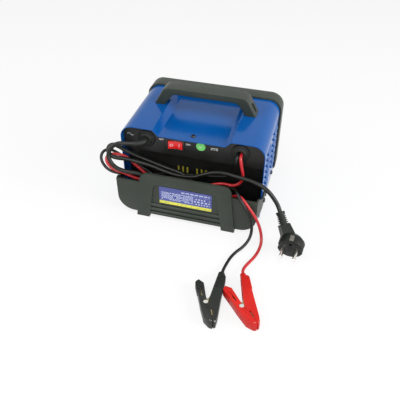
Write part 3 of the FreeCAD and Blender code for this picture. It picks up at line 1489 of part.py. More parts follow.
def make_plug():
    centre, out, side, up = plug_frame()
    radius = size.plug_face / 2
    back = out * -1
    head = Part.makeCylinder(radius, 13.0, centre, back)
    head = head.fuse(Part.makeCone(radius, radius - 5.0, 6.0, centre + back * 13.0, back))
    across = plug_axis.cross(up).normalize()
    upright = across.cross(plug_axis).normalize()
    throat = plug_entry + plug_axis * size.plug_relief
    root = centre + back * 8.0
    neck = Part.makeLoft([section_at(throat, across, upright, 7.2, 7.2),
                          section_at(root, side, up, 11.5, 10.5)], True, True)
    relief = Part.makeCone(5.8, 7.6, size.plug_relief + 2.0, plug_entry, plug_axis)
    collar = Part.makeCylinder(6.6, 3.2, plug_entry, plug_axis)
    relief = relief.fuse(collar)
    for number in range(5):
        start = plug_entry + plug_axis * (5.4 + 2.9 * number)
        groove = Part.makeCylinder(9.0, 1.4, start, plug_axis)
        core = Part.makeCylinder(5.0, 1.4, start, plug_axis)
        spines = Part.makeBox(2.6, 10.0, 20.0, Vector(-1.3, -5.0, -10.0))
        spines.Placement = Placement(start, Rotation(across, plug_axis, upright, "XZY"))
        relief = relief.cut(groove.cut(core).cut(spines))
    body = head.fuse([neck, relief])
    for sign in (-1, 1):
        pin_axis = centre + side * (sign * size.plug_pin_spacing / 2)
        body = body.cut(Part.makeCylinder(size.plug_pin / 2, 8.0, pin_axis + back * 8.0, out))
        flat = clip_block(centre, out, side, up, sign, 0.1)
        body = body.cut(flat)
        notch = Part.makeCylinder(6.0, 16.0, centre + side * (sign * (radius + 3.2)) + back * 12.0, out)
        body = body.cut(notch)
    socket = Part.makeCylinder(2.4, 9.0, centre + up * 10.0, back)
    body = body.cut(socket)
    shaped("plug_body", body.removeSplitter())
    pins = []
    for sign in (-1, 1):
        pin_axis = centre + side * (sign * size.plug_pin_spacing / 2)
        shank = Part.makeCylinder(size.plug_pin / 2, 8.0 + size.plug_pin_length - 2.0, pin_axis + back * 8.0, out)
        nose = Part.makeCone(size.plug_pin / 2, size.plug_pin / 4, 2.0,
                             pin_axis + out * (size.plug_pin_length - 2.0), out)
        pins.append(shank.fuse(nose))
    shaped("plug_pins", Part.makeCompound(pins))
    clips = [clip_block(centre, out, side, up, sign, 0.0) for sign in (-1, 1)]
    shaped("plug_earth_clips", Part.makeCompound(clips))


def clip_block(centre, out, side, up, sign, slack):
    """A flat earth strip let into the rim, above or below the pins."""
    half = 3.0 + slack
    radius = size.plug_face / 2
    inner = centre + up * (sign * (radius - 2.2 - slack))
    outer = centre + up * (sign * (radius - 0.9 + slack * 20.0))
    corners = [inner - side * half, inner + side * half, outer + side * half, outer - side * half]
    ring = Part.makePolygon(corners + corners[:1])
    return Part.Face(ring).extrude(out * -(11.0 + slack)).translated(out * -1.0 + out * slack)


# Where the two clamps lie, and how far each is turned from straight ahead

RED_PIVOT = (119.3, -238.9)
RED_TURN = 18.0
BLACK_PIVOT = (72.9, -244.8)
BLACK_TURN = 0.0

# Battery clamps: two plastic-covered channels of pressed steel on one pin, with
# a coiled spring that shuts the jaws. They lie on their side, so the pin stands.
# Outlines are drawn with the pin at the origin and the jaws towards -Y.

clamp_height = size.clamp_grip_width
grip_wall = 1.8
nest_gap = 0.2
ear_outer = grip_wall + nest_gap
ear_inner = ear_outer + size.clamp_steel + nest_gap
jaw_line = [(5.5, -6.0), (17.3, -size.clamp_jaw + 0.5)]


def fixed_outline(inset):
    """The half with the cable: from its handle's end to the tip of its jaw."""
    jaw = size.clamp_jaw
    handle = size.clamp_handle
    slit = size.fit_gap / 2
    return [(4.6 + inset * 0.2, handle + 1.5 - inset), (14.6 - inset, handle - 2.0 - inset), (16.4 - inset, 24.0),
            (18.6 - inset, 0.0), (20.2 - inset, -jaw * 0.62), (20.0 - inset, -jaw + 1.5 + inset),
            (17.9 - inset * 0.3, -jaw - 0.6 + inset), (jaw_line[1][0] + slit, jaw_line[1][1] + inset),
            (jaw_line[0][0] + slit, jaw_line[0][1]), (3.6, -1.0), (3.2, 5.0), (3.7, 26.0)]


def moving_outline(inset):
    """The shorter half without a cable, in its shut position."""
    jaw = size.clamp_jaw
    reach = size.clamp_short_handle
    slit = size.fit_gap / 2
    handle = [(-10.4, 29.0), (-18.6, 32.8 - inset), (-21.8 + inset, 28.2)]
    scale = reach / 38.0
    handle = [(x * scale, y * scale) for x, y in handle]
    return handle + [(-9.4 + inset, 2.2), (-5.8 + inset, -6.0), (3.4 + inset, -jaw * 0.83),
                     (11.6 + inset * 0.4, -jaw - 1.2 + inset), (15.8, -jaw - 1.6 + inset),
                     (jaw_line[1][0] - slit, jaw_line[1][1] + inset), (jaw_line[0][0] - slit, jaw_line[0][1]),
                     (2.0, 0.5), (-1.8, 8.0)]


def grip_shell(outline, inside):
    """A plastic channel: closed along its outer edge and open towards the other half."""
    shell = prism_z(outline, 0.0, clamp_height)
    return shell.cut(prism_z(inside, grip_wall, clamp_height - grip_wall))


def opened(outline, first, last, shift):
    """The outline with its inner edge pushed out sideways, so that a cut opens that side."""
    return [(x + (shift if first <= number <= last else 0.0), y) for number, (x, y) in enumerate(outline)]


def fixed_inside(inset):
    return opened(fixed_outline(inset), 7, 11, -9.0)


def moving_inside(inset):
    outline = moving_outline(inset)
    outline[0] = (outline[0][0] + 9.0, outline[0][1])
    return opened(outline, 8, 11, 9.0)


def clamp_place(pivot, turn):
    return Placement(Vector(pivot[0], pivot[1], 0.0), Rotation(Z_AXIS, turn))


def fixed_lever_shape():
    low = ear_outer
    high = clamp_height - ear_outer
    outline = fixed_outline(grip_wall + 0.05)
    edge = outline[2:6]
    teeth = tooth_edge(jaw_line[1], jaw_line[0], size.fit_gap / 2)[1:]
    lug = [(3.0, -4.6), (-2.6, -3.8), (-4.6, 0.0), (-3.2, 3.6), (1.5, 6.6), (4.6, 14.0), (5.6, 30.0)]
    plate = prism_z([(12.5, 33.0)] + edge + teeth + lug, low, high)
    inner = prism_z([(12.5 - size.clamp_steel, 40.0)] + [(x - size.clamp_steel, y) for x, y in edge[:3]] +
                    [(16.2, -size.clamp_jaw + 4.0), (-9.0, -6.0), (-9.0, 40.0)],
                    low + size.clamp_steel, high - size.clamp_steel)
    return plate.cut(inner).cut(pin_hole(0.05))


def moving_lever_shape():
    low = ear_inner
    high = clamp_height - ear_inner
    outline = moving_outline(grip_wall + 0.05)
    outer = outline[2:8]
    teeth = tooth_edge(jaw_line[1], jaw_line[0], -size.fit_gap / 2)
    lug = [(4.4, -2.2), (4.3, 1.6), (1.6, 4.2), (-2.6, 8.2), (-10.6, 25.6), (-15.6, 27.4)]
    plate = prism_z(outer + teeth + lug, low, high)
    web = size.clamp_steel
    inner_edge = [(x + web, y) for x, y in outer[:4]]
    inner = prism_z(inner_edge + [(12.0, -size.clamp_jaw + 4.5), (14.0, -6.0), (14.0, 8.0), (-2.0, 34.0),
                                  (-12.0, 34.0)],
                    low + web, high - web)
    return plate.cut(inner).cut(pin_hole(0.05))


def tooth_edge(start, end, offset):
    """The jaw's closing edge, with four shallow teeth near its tip."""
    points = []
    count = 4
    span = 0.5
    for number in range(2 * count + 1):
        along = span * number / (2 * count)
        bite = offset * (1.0 if number % 2 == 0 else 5.0)
        points.append((start[0] + (end[0] - start[0]) * along + bite, start[1] + (end[1] - start[1]) * along))
    points.append((end[0] + offset, end[1]))
    return points


def pin_hole(slack):
    return Part.makeCylinder(size.clamp_pin / 2 + slack, clamp_height, Vector(0, 0, 0))


def clamp_spring_edges():
    """Nearly two turns round the pin, with a leg that presses on each half's handle."""
    radius = size.clamp_pin / 2 + size.clamp_spring_wire / 2 + 0.4
    pitch = size.clamp_spring_wire + 0.85
    turns = 2
    first_leg = 14.0
    last_leg = 21.0
    first_angle = math.radians(-53.0)
    last_angle = math.radians(224.0) + 2 * math.pi * (turns - 1)
    quarter = (last_angle - first_angle) / (4 * turns)
    rise = pitch * (last_angle - first_angle) / (2 * math.pi)
    bottom = clamp_height / 2 - rise / 2 + pitch * 0.02

    def ring(angle):
        share = (angle - first_angle) / (last_angle - first_angle)
        point = Vector(radius * math.cos(angle), -radius * math.sin(angle), bottom + rise * share)
        slope = pitch / (2 * math.pi * radius)
        return point, Vector(-math.sin(angle), -math.cos(angle), slope).normalize()

    stops = [ring(first_angle + quarter * number) for number in range(4 * turns + 1)]
    flat_start = Vector(stops[0][1].x, stops[0][1].y, 0).normalize()
    flat_end = Vector(stops[-1][1].x, stops[-1][1].y, 0).normalize()
    stops[0] = (stops[0][0], flat_start)
    stops[-1] = (stops[-1][0], flat_end)
    edges = [Part.LineSegment(stops[0][0] - flat_start * first_leg, stops[0][0]).toShape()]
    for (start, start_dir), (end, end_dir) in zip(stops, stops[1:]):
        edges += biarc_edges(start, start_dir, end, end_dir)
    edges.append(Part.LineSegment(stops[-1][0], stops[-1][0] + flat_end * last_leg).toShape())
    return edges


def make_clamp(prefix, pivot, turn):
    position = clamp_place(pivot, turn)
    collar_end = size.clamp_handle + 5.5
    lead_x = 8.2
    level = clamp_height / 2
    bore = size.output_lead / 2
    grip = grip_shell(fixed_outline(0.0), fixed_inside(grip_wall))
    collar = Part.makeCylinder(bore + 1.9, 7.5, Vector(lead_x, collar_end - 7.5, level), Y_AXIS)
    grip = grip.fuse(collar)
    grip = grip.cut(Part.makeCylinder(bore - 0.4, 12.0, Vector(lead_x, collar_end - 10.0, level), Y_AXIS))
    shaped(prefix + "_fixed_grip", grip.removeSplitter(), position)
    shaped(prefix + "_fixed_lever", fixed_lever_shape(), position)
    other = grip_shell(moving_outline(0.0), moving_inside(grip_wall))
    window = Part.makeCylinder(3.6, clamp_height + 2.0, Vector(0, 0, -1.0))
    shaped(prefix + "_moving_grip", other.cut(window).removeSplitter(), position)
    shaped(prefix + "_moving_lever", moving_lever_shape(), position)
    head = 0.9
    pin = Part.makeCylinder(size.clamp_pin / 2, clamp_height - 2 * ear_outer + 2 * head,
                            Vector(0, 0, ear_outer - head))
    for low in (ear_outer - head, clamp_height - ear_outer):
        pin = pin.fuse(Part.makeCylinder(size.clamp_pin / 2 + 1.1, head, Vector(0, 0, low)))
    shaped(prefix + "_pin", pin, position)
    edges = clamp_spring_edges()
    least_gap(prefix + "_spring", edges, float(size.clamp_spring_wire), 8.0)
    shaped(prefix + "_spring", tube(prefix + "_spring", edges, size.clamp_spring_wire), position)


make_cover()
make_cover_screws()
make_rear_panel()
make_base_pan()
make_front_bezel()
make_front_panel()
make_rubber_feet()
make_cable_tray()
make_tray_screws()
make_rating_label()
make_handle()
make_handle_screws()
make_grommet("mains_grommet", -1, size.mains_cord / 2 + 0.05)
make_grommet("output_grommet", 1, size.output_lead + 0.15)
make_inspection_sticker()
make_switches()
make_needle(make_ammeter())
make_lamps()
make_breaker()
make_transformer()
make_transformer_frame()
make_transformer_bolts()
make_heatsink()
make_bridge_rectifier()
make_terminal_block()
make_leads()
make_plug()
make_clamp("red_clamp", RED_PIVOT, RED_TURN)
make_clamp("black_clamp", BLACK_PIVOT, BLACK_TURN)

doc.recompute()
for item in doc.Objects:
    for state in ("Invalid", "Error"):
        assert state not in item.State, f"{item.Name} is {item.State}"
for item in nodes:
    assert not item.Shape.isNull() and item.Shape.isValid(), f"{item.Label} has no sound shape"

os.makedirs("parts", exist_ok=True)
for item in nodes:
    item.Shape.exportStep(f"parts/{item.Label}.step")
print(f"{len(nodes)} sub-parts written")
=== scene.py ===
# %% [markdown]
# This lesson dresses a car battery charger: a blue folded steel case, a black
# moulded bezel, handle and cable tray, three leads, a plug and two clamps.
# The solids come from the CAD frame and keep their places. The lesson adds what
# a solid model leaves out: soft edges, printed marks, smooth leads and finishes.

# %% Load the frame and read its parts' boxes
import bpy
import json
import math
from mathutils import Matrix, Vector

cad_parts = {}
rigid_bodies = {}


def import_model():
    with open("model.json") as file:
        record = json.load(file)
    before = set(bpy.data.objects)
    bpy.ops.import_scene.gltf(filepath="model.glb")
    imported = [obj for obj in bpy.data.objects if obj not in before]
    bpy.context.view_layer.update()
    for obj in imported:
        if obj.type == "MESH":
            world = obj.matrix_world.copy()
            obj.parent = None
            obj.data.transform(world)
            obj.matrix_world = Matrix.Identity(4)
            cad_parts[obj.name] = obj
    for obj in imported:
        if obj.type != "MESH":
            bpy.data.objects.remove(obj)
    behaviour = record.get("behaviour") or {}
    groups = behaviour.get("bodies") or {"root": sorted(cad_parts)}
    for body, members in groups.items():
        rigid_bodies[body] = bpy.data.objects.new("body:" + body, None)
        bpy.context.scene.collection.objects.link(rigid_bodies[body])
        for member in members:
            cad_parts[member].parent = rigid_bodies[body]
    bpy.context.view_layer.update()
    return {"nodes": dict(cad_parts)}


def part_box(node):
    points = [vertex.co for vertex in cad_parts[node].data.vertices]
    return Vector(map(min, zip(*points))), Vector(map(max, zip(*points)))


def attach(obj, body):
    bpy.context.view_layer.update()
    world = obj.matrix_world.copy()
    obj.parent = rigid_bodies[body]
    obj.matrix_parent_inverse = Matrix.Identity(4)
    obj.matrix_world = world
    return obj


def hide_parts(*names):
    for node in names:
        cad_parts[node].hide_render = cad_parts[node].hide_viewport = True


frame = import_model()
nodes = frame["nodes"]
MM = 0.001
print("nodes in the frame:", len(nodes))

# %% [markdown]
# Every Blender operator acts on what is selected, so each step begins by
# selecting one object and nothing else. Lengths are written in millimetres, as
# on a drawing, and are turned into metres in one place.

# %% Selection and measuring
def select_only(item):
    if bpy.context.mode != "OBJECT":
        bpy.ops.object.mode_set(mode="OBJECT")
    bpy.ops.object.select_all(action="DESELECT")
    item.select_set(True)
    bpy.context.view_layer.objects.active = item


def metres(point):
    return Vector([number * MM for number in point])


def extent(item):
    """The lowest and the highest corner of a piece's mesh, in millimetres."""
    corners = [vertex.co / MM for vertex in item.data.vertices]
    return [Vector([pick(corner[axis] for corner in corners) for axis in range(3)]) for pick in (min, max)]


# %% [markdown]
# A modifier stays open to change until it is applied. These pieces are finished
# at once, so each modifier is applied as soon as it is set. A finished piece
# then takes its name, its finish and the body that it moves with.

# %% Helpers that finish a piece
CURVED = 40.0


def smooth(angle=CURVED):
    """Shade the faces smooth where they meet at less than the angle, in degrees."""
    bpy.ops.object.shade_smooth_by_angle(angle=math.radians(angle))


def apply_modifiers(item):
    select_only(item)
    for modifier in list(item.modifiers):
        bpy.ops.object.modifier_apply(modifier=modifier.name)
    return item


def round_off(item, width, segments=2, angle=35.0):
    """Round the edges that are sharper than the angle, in millimetres."""
    modifier = item.modifiers.new("edges", "BEVEL")
    modifier.width = width * MM
    modifier.segments = segments
    modifier.limit_method = "ANGLE"
    modifier.angle_limit = math.radians(angle)
    modifier.use_clamp_overlap = True
    apply_modifiers(item)
    smooth(50.0)
    return item


def paint(item, finish):
    item.data.materials.clear()
    item.data.materials.append(finish)


def seat(item, name, finish, body, slot, *hidden):
    """Name a finished piece, put its place in its mesh, and join it to its body."""
    select_only(item)
    bpy.ops.object.transform_apply(location=True, rotation=True, scale=True)
    item.name = name
    item.data.name = name
    paint(item, finish)
    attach(item, body)
    if hidden:
        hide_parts(*hidden)
    return item


# %% [markdown]
# The camera and the leads come first, because a lead that strays has to be
# moved in the CAD model too. The camera stands where the photograph was taken
# from: above the cable tray, a little to its right, looking down at the case.
# The three directions are the picture's right, its top and the way back to the
# camera.

# %% Camera
CAMERA_RIGHT = Vector((0.96393524, 0.26609777, 0.00456352))
CAMERA_UP = Vector((-0.17671688, 0.62714458, 0.75859134))
CAMERA_BACK = Vector((0.19899748, -0.73203938, 0.65155073))
CAMERA_PLACE = (172.875, -643.676, 539.273)

camera_data = bpy.data.cameras.new("camera")
camera_data.sensor_width = 36.0
camera_data.lens = 45.46
camera_data.clip_end = 20.0
camera = bpy.data.objects.new("camera", camera_data)
bpy.context.scene.collection.objects.link(camera)
turned = Matrix((CAMERA_RIGHT, CAMERA_UP, CAMERA_BACK)).transposed().to_4x4()
camera.matrix_world = Matrix.Translation(metres(CAMERA_PLACE)) @ turned
bpy.context.scene.camera = camera
print("camera at", [round(number, 3) for number in camera.location])

# %% [markdown]
# A finish is more than a colour. It is a chain of nodes that ends in a shader.
# The nodes read Object coordinates, so the pattern stays where it is on the
# piece when the piece moves.

# %% Nodes that the finishes share
def new_finish(name):
    material = bpy.data.materials.new(name)
    material.use_nodes = True
    return material, material.node_tree, material.node_tree.nodes["Principled BSDF"]


def mapped(tree, **changes):
    """Object coordinates, moved, turned or stretched by a Mapping node."""
    place = tree.nodes.new("ShaderNodeTexCoord")
    mapping = tree.nodes.new("ShaderNodeMapping")
    for socket, value in changes.items():
        mapping.inputs[socket].default_value = value
    tree.links.new(place.outputs["Object"], mapping.inputs["Vector"])
    return mapping.outputs["Vector"]


def coordinates(tree):
    """The piece's own X, Y and Z, each as a number in metres."""
    split = tree.nodes.new("ShaderNodeSeparateXYZ")
    tree.links.new(mapped(tree), split.inputs["Vector"])
    return split.outputs


def noise_on(tree, size_mm, detail=3.0, stretch=(1.0, 1.0, 1.0)):
    noise = tree.nodes.new("ShaderNodeTexNoise")
    noise.inputs["Scale"].default_value = 1.0 / (size_mm * MM)
    noise.inputs["Detail"].default_value = detail
    tree.links.new(mapped(tree, Scale=stretch), noise.inputs["Vector"])
    return noise.outputs["Fac"]


# %% [markdown]
# Colours and numbers are mixed by small nodes of their own. Each of these
# helpers adds one such node, and feeds it with plain values or with the outputs
# of other nodes.

# %% Nodes that mix colours and numbers
def feed(tree, socket, source):
    """Give a socket a number, a colour or the output of another node."""
    if isinstance(source, bpy.types.NodeSocket):
        tree.links.new(source, socket)
    else:
        socket.default_value = (*source, 1.0) if isinstance(source, tuple) else source


def blend_colours(tree, factor, first, second):
    mix = tree.nodes.new("ShaderNodeMix")
    mix.data_type = "RGBA"
    colour_first, colour_second, colour_result = mix.inputs[6], mix.inputs[7], mix.outputs[2]
    for socket, source in ((mix.inputs["Factor"], factor), (colour_first, first), (colour_second, second)):
        feed(tree, socket, source)
    return colour_result


def reckon(tree, operation, first, second):
    """One Math node, fed on each side by a number or by another node."""
    step = tree.nodes.new("ShaderNodeMath")
    step.operation = operation
    feed(tree, step.inputs[0], first)
    feed(tree, step.inputs[1], second)
    return step.outputs["Value"]


def between(tree, factor, low, high, start=0.35, end=0.65):
    """Numbers from low to high, as the factor goes from start to end."""
    span = tree.nodes.new("ShaderNodeMapRange")
    for socket, source in (("Value", factor), ("From Min", start), ("From Max", end), ("To Min", low),
                           ("To Max", high)):
        feed(tree, span.inputs[socket], source)
    return span.outputs["Result"]


# %% [markdown]
# Each finish starts alike: a slow noise shifts the colour slightly, a second
# noise breaks up the gloss, and a fine noise raises the grain of a moulding or
# the skin of a paint.

# %% The grained finish
def raise_grain(tree, shader, height, strength, depth_mm):
    bump = tree.nodes.new("ShaderNodeBump")
    bump.inputs["Strength"].default_value = strength
    bump.inputs["Distance"].default_value = depth_mm * MM
    tree.links.new(height, bump.inputs["Height"])
    tree.links.new(bump.outputs["Normal"], shader.inputs["Normal"])


def clouded(tree, size_mm, light, dark):
    """Two shades of a colour that change into each other in soft clouds."""
    return blend_colours(tree, between(tree, noise_on(tree, size_mm), 0.0, 1.0), light, dark)


def grained(name, light, dark, gloss, grain_mm, strength, depth_mm=0.05, cloud_mm=45.0, specular=0.5,
            sockets=()):
    """A finish with clouded colour, uneven gloss and a fine grain."""
    material, tree, shader = new_finish(name)
    tree.links.new(clouded(tree, cloud_mm, light, dark), shader.inputs["Base Color"])
    tree.links.new(between(tree, noise_on(tree, cloud_mm / 3.0), *gloss), shader.inputs["Roughness"])
    raise_grain(tree, shader, noise_on(tree, grain_mm, 2.0), strength, depth_mm)
    shader.inputs["Specular IOR Level"].default_value = specular
    for socket, number in dict(sockets).items():
        shader.inputs[socket].default_value = number
    return material


# %% [markdown]
# The case is steel with gloss enamel. Enamel flows before it sets, so it has a
# slow ripple called orange peel, under a clear hard surface. Mouldings, rubber
# and vinyl are duller and have a finer grain. Each line gives a light and a dark
# shade, the span of roughness, the grain's size in millimetres and its strength.

# %% Painted and moulded finishes
blue_enamel = grained("blue_enamel", (0.0006, 0.080, 0.310), (0.0004, 0.070, 0.280), (0.14, 0.20),
                      2.6, 0.10, depth_mm=0.06, cloud_mm=80.0, specular=0.26)
black_enamel = grained("black_enamel", (0.009, 0.010, 0.009), (0.006, 0.007, 0.006), (0.34, 0.44),
                       1.6, 0.12, cloud_mm=60.0, sockets={"Coat Weight": 0.10, "Coat Roughness": 0.25})
black_moulding = grained("black_moulding", (0.034, 0.042, 0.033), (0.027, 0.034, 0.026), (0.34, 0.44),
                         0.55, 0.20, cloud_mm=30.0, specular=0.3)
smooth_black = grained("smooth_black", (0.018, 0.019, 0.020), (0.012, 0.013, 0.014), (0.22, 0.30),
                       1.2, 0.06)
black_rubber = grained("black_rubber", (0.012, 0.014, 0.012), (0.008, 0.009, 0.008), (0.42, 0.56),
                       0.8, 0.18, cloud_mm=30.0, specular=0.3)
dark_vinyl = grained("dark_vinyl", (0.008, 0.010, 0.008), (0.005, 0.006, 0.005), (0.26, 0.36),
                     1.1, 0.12, cloud_mm=25.0, specular=0.3)
red_vinyl = grained("red_vinyl", (0.50, 0.018, 0.022), (0.42, 0.012, 0.016), (0.28, 0.38),
                    1.1, 0.12, cloud_mm=25.0)
black_vinyl = grained("black_vinyl", (0.007, 0.008, 0.007), (0.004, 0.005, 0.004), (0.28, 0.38),
                      1.1, 0.12, cloud_mm=25.0, specular=0.32)
red_grip = grained("red_grip", (0.58, 0.018, 0.012), (0.50, 0.013, 0.010), (0.34, 0.46),
                   0.9, 0.16, cloud_mm=30.0, specular=0.2)
black_grip = grained("black_grip", (0.010, 0.012, 0.010), (0.006, 0.008, 0.006), (0.34, 0.46),
                     0.9, 0.18, cloud_mm=30.0, specular=0.34)
plug_plastic = grained("plug_plastic", (0.007, 0.009, 0.007), (0.004, 0.005, 0.004), (0.36, 0.48),
                       0.8, 0.16, cloud_mm=30.0, specular=0.24)
white_ink = grained("white_ink", (0.80, 0.82, 0.80), (0.70, 0.72, 0.70), (0.45, 0.55), 0.5, 0.05)
cream_nylon = grained("cream_nylon", (0.62, 0.57, 0.46), (0.55, 0.50, 0.40), (0.40, 0.50), 1.0, 0.10)
board_laminate = grained("board_laminate", (0.020, 0.12, 0.045), (0.014, 0.09, 0.035), (0.30, 0.40),
                         0.7, 0.12)
yellow_tape = grained("yellow_tape", (0.66, 0.58, 0.06), (0.56, 0.48, 0.05), (0.20, 0.32), 6.0, 0.20)
GRIP_FINISHES = {"red": red_grip, "black": black_grip}
print("finishes so far:", len(bpy.data.materials))


# %% [markdown]
# Zinc plate on steel is bright but not a mirror: it has long soft streaks where
# the sheet was rolled. The noise is squeezed across the streaks to draw them.

# %% Metal finishes
def plated(name, light, dark, gloss, streak):
    material, tree, shader = new_finish(name)
    tree.links.new(clouded(tree, 9.0, light, dark), shader.inputs["Base Color"])
    lines = noise_on(tree, 1.4, 2.0, streak)
    tree.links.new(between(tree, lines, *gloss), shader.inputs["Roughness"])
    raise_grain(tree, shader, lines, 0.12, 0.03)
    shader.inputs["Metallic"].default_value = 1.0
    return material


EVEN = (1.0, 1.0, 1.0)
ROLLED = (1.0, 0.15, 1.0)
zinc_plate = plated("zinc_plate", (0.60, 0.58, 0.50), (0.48, 0.45, 0.36), (0.26, 0.40), ROLLED)
nickel_plate = plated("nickel_plate", (0.74, 0.72, 0.68), (0.66, 0.63, 0.58), (0.12, 0.22), EVEN)
# The plug's earth clips are bright nickel. This colour is darkened to paint the shade that they lie in.
shade_darkened_nickel = plated("shade_darkened_nickel", (0.21, 0.20, 0.18), (0.15, 0.14, 0.12), (0.30, 0.42), EVEN)
yellow_zinc = plated("yellow_zinc", (0.34, 0.30, 0.17), (0.25, 0.21, 0.11), (0.30, 0.42), ROLLED)
mill_aluminium = plated("mill_aluminium", (0.78, 0.79, 0.80), (0.68, 0.69, 0.71), (0.30, 0.42),
                        (0.1, 0.1, 1.0))
core_sheets = plated("core_sheets", (0.17, 0.17, 0.18), (0.11, 0.11, 0.12), (0.38, 0.55), (0.02, 1.0, 0.02))
copper_wire = plated("copper_wire", (0.55, 0.20, 0.06), (0.42, 0.14, 0.04), (0.25, 0.40), (0.05, 0.05, 1.0))
blackened_screw = plated("blackened_screw", (0.05, 0.05, 0.05), (0.03, 0.03, 0.03), (0.30, 0.45), EVEN)
print("finishes with the metals:", len(bpy.data.materials))


# %% [markdown]
# The rocker's red cap lets some light in, so its finish has a little
# subsurface scatter. The meter's window is clear and passes most light. The
# three lamps are one node, so their finish tells them apart along X: the colour
# changes in each of the two gaps between them.

# %% Translucent and clear finishes
def translucent(name, light, dark, scatter):
    material = grained(name, light, dark, (0.12, 0.20), 1.0, 0.03)
    shader = material.node_tree.nodes["Principled BSDF"]
    shader.inputs["Subsurface Weight"].default_value = scatter
    shader.inputs["Subsurface Radius"].default_value = (0.004, 0.0008, 0.0008)
    shader.inputs["Subsurface Scale"].default_value = 1.0
    return material


red_lens = translucent("red_lens", (0.80, 0.022, 0.022), (0.70, 0.016, 0.018), 0.35)
clear_window = grained("clear_window", (0.95, 0.97, 0.98), (0.92, 0.95, 0.96), (0.04, 0.08),
                       4.0, 0.02, depth_mm=0.02, cloud_mm=60.0,
                       sockets={"Transmission Weight": 1.0, "IOR": 1.49})
lamp_lens = translucent("lamp_lens", (0.90, 0.30, 0.02), (0.80, 0.24, 0.02), 0.3)
LAMP_COLOURS = ((0.02, 0.55, 0.06), (0.85, 0.62, 0.03), (0.75, 0.02, 0.02))
LAMP_GAPS = ((0.30, 0.32), (0.68, 0.70))


def colour_lamps():
    tree = lamp_lens.node_tree
    across = coordinates(tree)["X"]
    low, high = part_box("indicator_lamps")
    colour = LAMP_COLOURS[0]
    for gap, next_colour in zip(LAMP_GAPS, LAMP_COLOURS[1:]):
        start, end = [low.x + (high.x - low.x) * share for share in gap]
        colour = blend_colours(tree, between(tree, across, 0.0, 1.0, start, end), colour, next_colour)
    tree.links.new(colour, tree.nodes["Principled BSDF"].inputs["Base Color"])


colour_lamps()
print("finishes in all:", len(bpy.data.materials))

# %% [markdown]
# Each CAD node whose shape is already right keeps it and only takes a finish.
# The nodes that are replaced further on take one too, so that none is bare.

# %% Finishes on the CAD nodes
NODE_FINISHES = (
    (blue_enamel, "cover"),
    (black_enamel, "rear_panel base_pan front_panel"),
    (blackened_screw, "cover_screws tray_screws"),
    (zinc_plate, "handle_screws transformer_frame transformer_bolts red_clamp_spring black_clamp_spring"),
    (black_moulding, "front_bezel handle cable_tray"),
    (black_rubber, "rubber_feet mains_grommet output_grommet"),
    (smooth_black, "power_switch_case voltage_switch_case rate_switch_case voltage_rocker rate_rocker"),
    (smooth_black, "ammeter_case ammeter_needle breaker_case bridge_rectifier"),
    (red_lens, "power_rocker"),
    (clear_window, "ammeter_window"),
    (lamp_lens, "indicator_lamps"),
    (board_laminate, "lamp_board"),
    (core_sheets, "transformer_core"),
    (cream_nylon, "winding_bobbin terminal_block"),
    (copper_wire, "primary_winding"),
    (yellow_tape, "secondary_winding"),
    (mill_aluminium, "heatsink"),
    (dark_vinyl, "inner_mains_cable"),
    (black_vinyl, "inner_output_cables"),
    (plug_plastic, "plug_body"),
    # the earth clips take the nickel that is darkened to paint their shade
    (shade_darkened_nickel, "plug_earth_clips"),
    (nickel_plate, "plug_pins red_clamp_pin black_clamp_pin"),
    (red_grip, "breaker_button red_clamp_fixed_grip red_clamp_moving_grip"),
    (black_grip, "black_clamp_fixed_grip black_clamp_moving_grip"),
    (yellow_zinc, "red_clamp_fixed_lever red_clamp_moving_lever"),
    (yellow_zinc, "black_clamp_fixed_lever black_clamp_moving_lever"),
)
for finish, names in NODE_FINISHES:
    for name in names.split():
        paint(nodes[name], finish)
print("dressed nodes:", sum(len(names.split()) for finish, names in NODE_FINISHES))

# %% [markdown]
# A lead is a curve with one round section. Its control points are the corners
# of the CAD route, and a smooth spline of order three runs close to them. The
# mains lead leaves the left grommet, sinks into two and a half flat loops on the
# tray's floor, climbs out, swings round twice and ends at the plug.

# %% Routes of the three leads, in millimetres
MAINS_START = [
    (-72, -56, 115), (-72, -61.5, 115), (-76, -67, 115.2), (-83, -70.5, 115.6), (-93.5, -73.5, 116),
    (-105.8, -76.5, 116.6), (-114, -79.5, 112.8), (-119.4, -83, 106.4), (-121.1, -87, 98.1),
    (-117, -90, 88.8), (-109.2, -91, 81), (-99.3, -89.5, 76.3), (-88, -86.5, 73.5), (-75.4, -82, 70.5),
    (-60, -81, 60), (-46, -82, 46), (-33, -83.5, 34), (-24.5, -84, 27.4), (-17, -84, 24.4),
    (-9, -84, 24.4),
]
MAINS_END = [
    (60, -48, 10), (51, -48, 10), (42, -50.5, 10.4), (33, -55, 13), (24, -59.5, 20), (16, -61.5, 30),
    (10, -61, 41), (3, -59.5, 51), (-6, -57.5, 59), (-18.4, -55, 63.3), (-43.3, -56, 69.6),
    (-66.5, -58, 77.9), (-86.2, -61.5, 86.5), (-101.5, -64.5, 95.5), (-111.5, -66.5, 102.6),
    (-118, -68, 106.4), (-123, -71.2, 106.2), (-125.5, -74.8, 103.2), (-124.2, -79, 97.4),
    (-119.5, -80, 92.8), (-112, -78.8, 90), (-97, -73.5, 87.3), (-79.8, -70, 82.5), (-60, -67.5, 77),
    (-40, -66, 69), (-16, -66, 64.9), (6.2, -66, 67.7), (21.8, -66, 76.7), (37, -66, 83.8),
    (53.9, -67, 86.6), (73.9, -69, 84.8), (92, -71, 84.2), (110.6, -75, 81.2), (123, -77.5, 73.4),
    (132.4, -79.5, 62.5), (138.4, -82, 54.4), (142, -86.5, 48.8),
]
